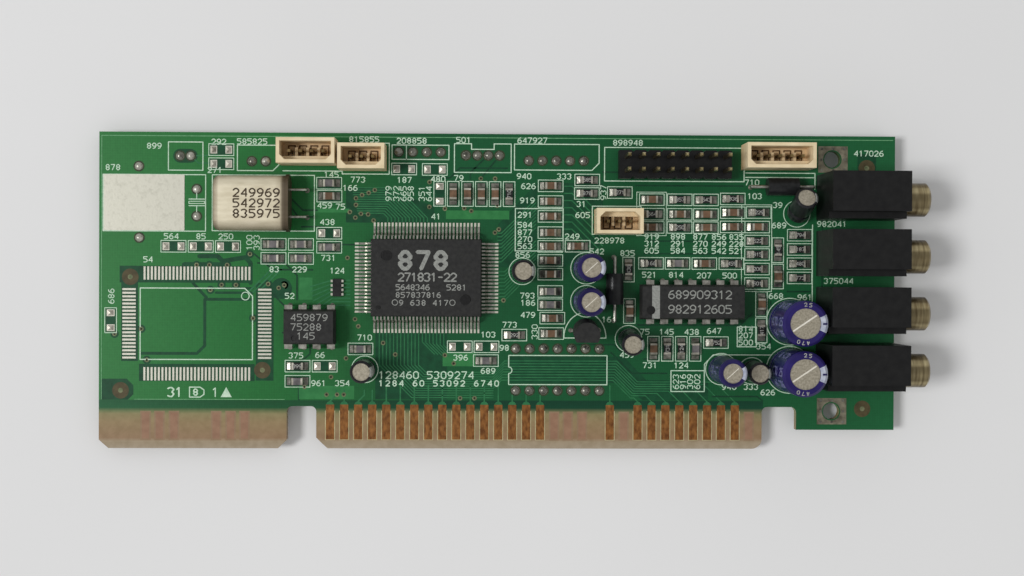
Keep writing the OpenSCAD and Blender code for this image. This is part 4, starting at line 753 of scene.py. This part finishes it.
haze.make("contact_shadow_edges", shadow_soft, "laminate")
shadow.make("contact_shadows", tan_shadow, "laminate")
dark.make("mask_clearances", mask_dark, "laminate")
line.make("mask_gaps", trace_dark, "laminate")
thin.make("outline_print", silk_thin, "laminate")
rim.make("contact_rims", gold_rim, "contact_gold")
pour.make("copper_pour_patches", mask_light, "laminate")
trace.make("copper_traces", trace_green, "laminate")
edge.make("joint_edges", joint_edge, "tin")
ring.make("via_rings", via_metal, "tin")
core.make("via_holes", hole_shade_brown, "laminate")
bare.make("fiducial_windows", bare_tan, "laminate")
silk.make("silkscreen", silk_white, "laminate")

# ---------------------------------------------------------------- print on the parts


def plate_on(node, thick=0.02):
    """A layer lying on the top of a CAD node."""
    top = top_of(node)
    return Layer(top - 0.004, top + thick)


digits = plate_on("chip_resistor_bodies")
for k, (x, y, up) in enumerate(RESISTORS):
    if up:
        digits.text(number(k, 3), x + 0.3, y - 0.75, 0.6, 0.05, 90, 0.9)
    else:
        digits.text(number(k, 3), x - 0.75, y - 0.3, 0.6, 0.05, 0, 0.9)
digits.make("resistor_numbers", print_pale, "resistor_ceramic")

mark = plate_on("sound_chip_body")
mark.text("878", 54.3, 32.65, 3.0, 0.36, 0, 1.06)
mark.text("271831-22", 54.1, 30.45, 1.4, 0.13, 0, 0.84)
mark.text("5648346", 53.7, 28.85, 0.95, 0.085, 0, 0.93)
mark.text("5281", 62.8, 28.85, 0.95, 0.085, 0, 0.98)
mark.text("857837816", 53.7, 27.5, 0.9, 0.08, 0, 1.02)
mark.text("9 638 417", 54.3, 26.1, 0.9, 0.085, 0, 1.12)
mark.rings([(53.5, 26.6), (63.8, 26.6)], 0.42, 0.56, 18)
mark.make("sound_chip_numbers", print_grey, "chip_plastic")
mark = plate_on("sound_chip_body")
mark.discs([(52.1, 35.0), (66.1, 27.1)], 0.92, 32)
mark.discs([(50.6, 25.7)], 0.3, 16)
mark.make("sound_chip_dimples", print_dim, "chip_plastic")
mark = plate_on("memory_chip_body")
for k, (x, y, places) in enumerate([(35.1, 23.3, 6), (35.1, 21.6, 5), (36.2, 20.0, 3)]):
    mark.text(number(k + 20, places), x, y, 1.15, 0.08, 0, 0.98)
mark.make("memory_chip_numbers", print_grey, "chip_plastic")
mark = plate_on("amplifier_body")
for k, y in enumerate((27.5, 24.9)):
    mark.text(number(k + 30, 6) + number(k + 41, 3), 102.6, y, 1.4, 0.1, 0, 0.92)
mark.rect(99.6, 23.9, 101.0, 29.8)
mark.make("amplifier_numbers", print_grey, "chip_plastic")
mark = plate_on("amplifier_body", 0.03)
mark.discs([(99.4, 25.4)], 0.78, 28)
mark.make("amplifier_dimple", print_dim, "chip_plastic")
mark = plate_on("crystal_can")
for k, y in enumerate((45.35, 43.5, 41.65)):
    mark.text(number(k + 50, 6), 24.9, y, 1.4, 0.13, 0, 1.02)
mark.make("crystal_numbers", print_brown, "crystal_metal")

# ---------------------------------------------------------------- capacitor stripes, scores and marks

# Diameters and heights of the three sizes.
LARGE_D, LARGE_H = 8.0, 11.5
MEDIUM_D, MEDIUM_H = 5.0, 11.0
SMALL_D, SMALL_H = 4.0, 7.0
RECESS = 0.16  # from a sleeve's rim down to the can's top
STAND = 0.3  # each can stands this far off the board
SKIN = 0.02  # a stripe lies this far outside and inside the sleeve's face
LEANS = {95.8: (6, 0.3), 126.5: (-20, 0.6)}  # of two small ones, by their X: degrees, and the lift


def placed(points, cap):
    """Points of an upright capacitor at the origin, leaned about X and moved to its place on the board.

    A capacitor is x, y, its lean in degrees and the lift that keeps a leaning one off the board."""
    x, y, lean, lift = cap
    c, q = math.cos(math.radians(lean)), math.sin(math.radians(lean))
    p = np.asarray(points, float) + [0, 0, STAND]
    return np.stack([p[:, 0] + x, p[:, 1] * c - p[:, 2] * q + y, p[:, 1] * q + p[:, 2] * c + lift], -1)


def stripe(caps, d, h, top_d, half, name, finish, n=13):
    """A stripe up the sleeve and over its rim: the side profile swept through an arc about the can's axis.

    The profile runs up the wall, over the slanted rim and in across the top; its outer copy lies a skin
    outside and its inner copy a skin inside the sleeve's face."""
    r = d / 2
    slant = 0.06 * d
    face = np.array([(r, 2.6), (r, h - slant), (r - slant, h), (top_d / 2 + SKIN, h)])
    out = np.array([(SKIN, 0), (SKIN, 0.4 * SKIN), (0.4 * SKIN, SKIN), (0, SKIN)])
    loop = np.concatenate([face + out, (face - out)[::-1]])
    t = np.radians(np.linspace(-half, half, n))[:, None]
    one = np.stack([loop[:, 0] * np.cos(t), loop[:, 0] * np.sin(t), loop[:, 1] + 0 * t], -1).reshape(-1, 3)
    i, m = np.arange(n - 1)[:, None], np.arange(8)[None, :]
    after = (m + 1) % 8
    quads = np.stack([i * 8 + m, (i + 1) * 8 + m, (i + 1) * 8 + after, i * 8 + after], -1).reshape(-1, 4)
    faces = []
    for k in range(len(caps)):
        base = k * n * 8
        faces += (quads + base).tolist()
        faces += [[base + j for j in range(8)][::-1], [base + (n - 1) * 8 + j for j in range(8)]]
    return add_piece(name, np.concatenate([placed(one, c) for c in caps]), faces, finish)


def top_marks(caps, h, shapes, name, finish):
    """Flat marks on the top of each capacitor, drawn once about its axis and copied to every place."""
    layer = Layer(h - 0.01, h + 0.03)
    shapes(layer)
    one = np.concatenate(layer.points)
    faces = [[v + k * len(one) for v in f] for k in range(len(caps)) for f in layer.faces]
    return add_piece(name, np.concatenate([placed(one, c) for c in caps]), faces, finish)


large = [(x, y, 0, 0) for x, y in LARGE]
medium = [(x, y, 0, 0) for x, y in MEDIUM]
small = [(x, y, *LEANS.get(x, (0, 0))) for x, y in SMALL]
stripe(large, LARGE_D, LARGE_H, 5.35, 24, "large_capacitor_stripes", stripe_pale)
stripe(medium, MEDIUM_D, MEDIUM_H, 3.45, 30, "medium_capacitor_stripes", stripe_pale, 11)
stripe(small, SMALL_D, SMALL_H, 3.1, 28, "small_capacitor_stripes", print_grey, 11)


def dashes(layer):
    """A short dash on the pale stripe, near the rim."""
    layer.rect(3.0, -0.16, 3.75, 0.16)


top_marks(large, LARGE_H + 0.03, dashes, "large_capacitor_dashes", dark_blue_sleeve)


def rim_digits(layer):
    """Two short numbers written along an arc 3.02 from the axis, 15 degrees a figure, their tops outward."""
    arc_r, half = 3.02, 0.2
    for turn, word in ((90, "25"), (-90, "470")):
        for k, d in enumerate(word):
            a = math.radians(turn - (k - (len(word) - 1) / 2) * 15)
            c, q = math.cos(a), math.sin(a)
            layer.text(d, arc_r * c + half * q, arc_r * q - half * c, 0.6, 0.06, math.degrees(a) - 90)


top_marks(large, LARGE_H, rim_digits, "large_capacitor_numbers", print_pale)


def sleeve_print(caps, d, at, draw, name, finish):
    """Flat print bent round the sleeves: its width becomes an angle about the axis, counted from at
    degrees, its height stays a height, and its thickness points outward."""
    layer = Layer(-0.02, 0.03)
    draw(layer)
    u, v, w = np.concatenate(layer.points).T
    a, reach = math.radians(at) + u / (d / 2), d / 2 + w
    one = np.stack([reach * np.cos(a), reach * np.sin(a), v], -1)
    faces = [[c + k * len(one) for c in f] for k in range(len(caps)) for f in layer.faces]
    return add_piece(name, np.concatenate([placed(one, c) for c in caps]), faces, finish)


def three_words(layer):
    """Three lines of figures that run up a large sleeve."""
    layer.text("470 25", 0.7, 3.4, 1.35, 0.13, 90, 1.0)
    layer.text("64 105", 2.9, 3.6, 1.2, 0.12, 90, 1.0)
    layer.text("8 470", -2.6, 4.0, 1.2, 0.12, 90, 1.0)


def one_word(layer):
    """One line of figures that runs up a medium sleeve."""
    layer.text("10 47", 0.5, 3.2, 1.2, 0.11, 90, 1.0)


sleeve_print(large, LARGE_D, 175, three_words, "large_capacitor_prints", sleeve_pale)
sleeve_print(medium, MEDIUM_D, 175, one_word, "medium_capacitor_prints", sleeve_pale)


def long_score(layer):
    """A bright line pressed across the top of a large can."""
    layer.strokes([(-2.1, -1.25, 1.9, 1.45)], 0.13)


def short_score(layer):
    """The same on a medium can."""
    layer.strokes([(-1.0, -0.9, 1.0, 0.9)], 0.06)


top_marks(large, LARGE_H - RECESS, long_score, "large_capacitor_scores", score_metal)
top_marks(medium, MEDIUM_H - RECESS, short_score, "medium_capacitor_scores", score_metal)

# Painted shade: dark brown strips round three sides of each pin, on the floors of the plug headers, stand in
# for the shade in the recesses there. A header is the middle of its row of pins, the number of pins, and the
# side that its slots are closed on.
HEADERS = [(37.8, 53.5, 4, 1), (122.4, 53.15, 5, 1), (47.6, 52.6, 3, 1), (93.6, 41.3, 3, -1)]
HEADER_PITCH = 2.0
slots = Layer(1.19, 1.24)
for x, y, pins, side in HEADERS:
    for k in range(pins):
        at = x + (k - (pins - 1) / 2) * HEADER_PITCH
        left, right, near, far = at - 0.6, at + 0.6, y - 0.75 * side, y + 1.2 * side
        slots.path([(left, near), (left, far), (right, far), (right, near)], 0.13)
slots.make("header_slot_shade", slot_shade_brown, "ivory_plastic")

# Low solder bumps on the pads of the empty chip places: four slopes from each pad's edge to its middle.
PAD_OUT = 1.35  # from the middle of a chip place to the middle of each pad
bump = np.array([(-0.5, -0.6, 0.04), (0.5, -0.6, 0.04), (0.5, 0.6, 0.04), (-0.5, 0.6, 0.04), (0, 0, 0.24)])
bump_faces = np.array([(0, 1, 4), (1, 2, 4), (2, 3, 4), (3, 0, 4)])
bump_points, bump_list = [], []
for x, y, up in EMPTY:
    for way in (-1, 1):
        at = [way * PAD_OUT, 0] if not up else [0, way * PAD_OUT]
        base = 5 * len(bump_points)
        turned = bump if not up else bump[:, [1, 0, 2]] * [-1, 1, 1]
        bump_points.append(turned + [x + at[0], y + at[1], 0])
        bump_list += (bump_faces + base).tolist() + [[base + 3, base + 2, base + 1, base]]
add_piece("pad_bumps", np.concatenate(bump_points), bump_list, end_metal)


def domes(places, name, finish, around=20):
    """A solder dome over each hole: a parabola 0.72 in radius and 0.36 high, turned about the hole."""
    radii = np.array([0.72, 0.66, 0.54, 0.36, 0.16])
    heights = 0.03 + 0.36 * (1 - (radii / radii[0]) ** 2)
    r, z = radii[:, None], heights[:, None]
    t = np.arange(around) * 2 * math.pi / around
    one = np.stack([r * np.cos(t), r * np.sin(t), z + 0 * t], -1).reshape(-1, 3)
    i, m = np.arange(around), np.arange(len(radii) - 1)[:, None] * around
    after = (i + 1) % around
    quads = np.stack([m + i, m + after, m + around + after, m + around + i], -1).reshape(-1, 4)
    foot, crown = np.arange(around)[::-1], np.arange(around) + (len(radii) - 1) * around
    points, faces = [], []
    for x, y in places:
        base = len(one) * len(points)
        points.append(one + [x, y, 0])
        faces += (quads + base).tolist() + [(crown + base).tolist(), (foot + base).tolist()]
    add_piece(name, np.concatenate(points), faces, finish, True)


domes([hole for hole in FILLED if hole not in BRIGHT], "solder_domes", solder)
domes(BRIGHT, "bright_solder_domes", bright_solder)

# Small solder beads round the bracket holes.
beads = Layer(0.03, 0.12)
for x, y in BRACKET_HOLES:
    round_it = [(i, j) for i in (-1, 0, 1) for j in (-1, 0, 1) if i or j]
    beads.discs([(x + 2.05 * i + 0.1, y + 1.95 * j) for i, j in round_it], 0.24, 10)
beads.make("bracket_pad_beads", solder, "tin")

# ---------------------------------------------------------------- stage, light and camera

FLOOR_REACH, FLOOR_Z = 3, -0.0003
floor_mesh = bpy.data.meshes.new("floor")
corners = [(x * FLOOR_REACH, y * FLOOR_REACH, FLOOR_Z) for x, y in ((-1, -1), (1, -1), (1, 1), (-1, 1))]
floor_mesh.from_pydata(corners, [], [(0, 1, 2, 3)])
floor_mesh.materials.append(material("floor_white", (224, 224, 224), (228, 228, 228), 0.8, 0.0, 8))
floor = bpy.data.objects.new("floor", floor_mesh)
scene.collection.objects.link(floor)

world = bpy.data.worlds.new("studio")
scene.world = world
studio = Tree(world)
sky = [(0.0, 0.45), (0.5, 0.56), (0.8, 0.58), (1.0, 0.3)]  # greys from straight below to straight above
height = studio.split(studio.where("Generated"))[2]
studio.feed(studio.nodes["Background"], {
    "Color": studio.ramp(height, [(at, (grey, grey, grey, 1)) for at, grey in sky]), "Strength": 1.0})


def lamp(name, place, target, size, power):
    """A square soft light at place, facing target, both in metres."""
    data = bpy.data.lights.new(name, "AREA")
    data.size = size
    data.energy = power
    obj = bpy.data.objects.new(name, data)
    obj.location = place
    obj.rotation_euler = (Vector(target) - Vector(place)).to_track_quat("-Z", "Y").to_euler()
    scene.collection.objects.link(obj)


lamp("key_light", (-1.7, -0.12, 2.1), (0, 0, 0), 0.7, 38.0)

# Fitted to the photograph: the eye in board millimetres, and the picture's directions in the row frame.
EYE = [69.42, 30.66, 232.74]
RIGHT, DOWN, AHEAD = (np.array(way) for way in (
    (0.9997496, 0.00410413, 0.02199743), (0.00397018, -0.99997333, 0.00612963),
    (0.022022, -0.00604077, -0.99973924)))
camera = bpy.data.cameras.new("camera")
camera.lens = 45.03
camera.sensor_width = 36
camera.clip_start = 0.01
eye = bpy.data.objects.new("camera", camera)
stance = np.eye(4)
stance[:3] = np.stack([RIGHT, -DOWN, -AHEAD, metres(EYE)], 1)
eye.matrix_world = Matrix(stance.tolist())
scene.collection.objects.link(eye)
scene.camera = eye
scene.view_settings.view_transform = "Standard"
scene.view_settings.look = "None"
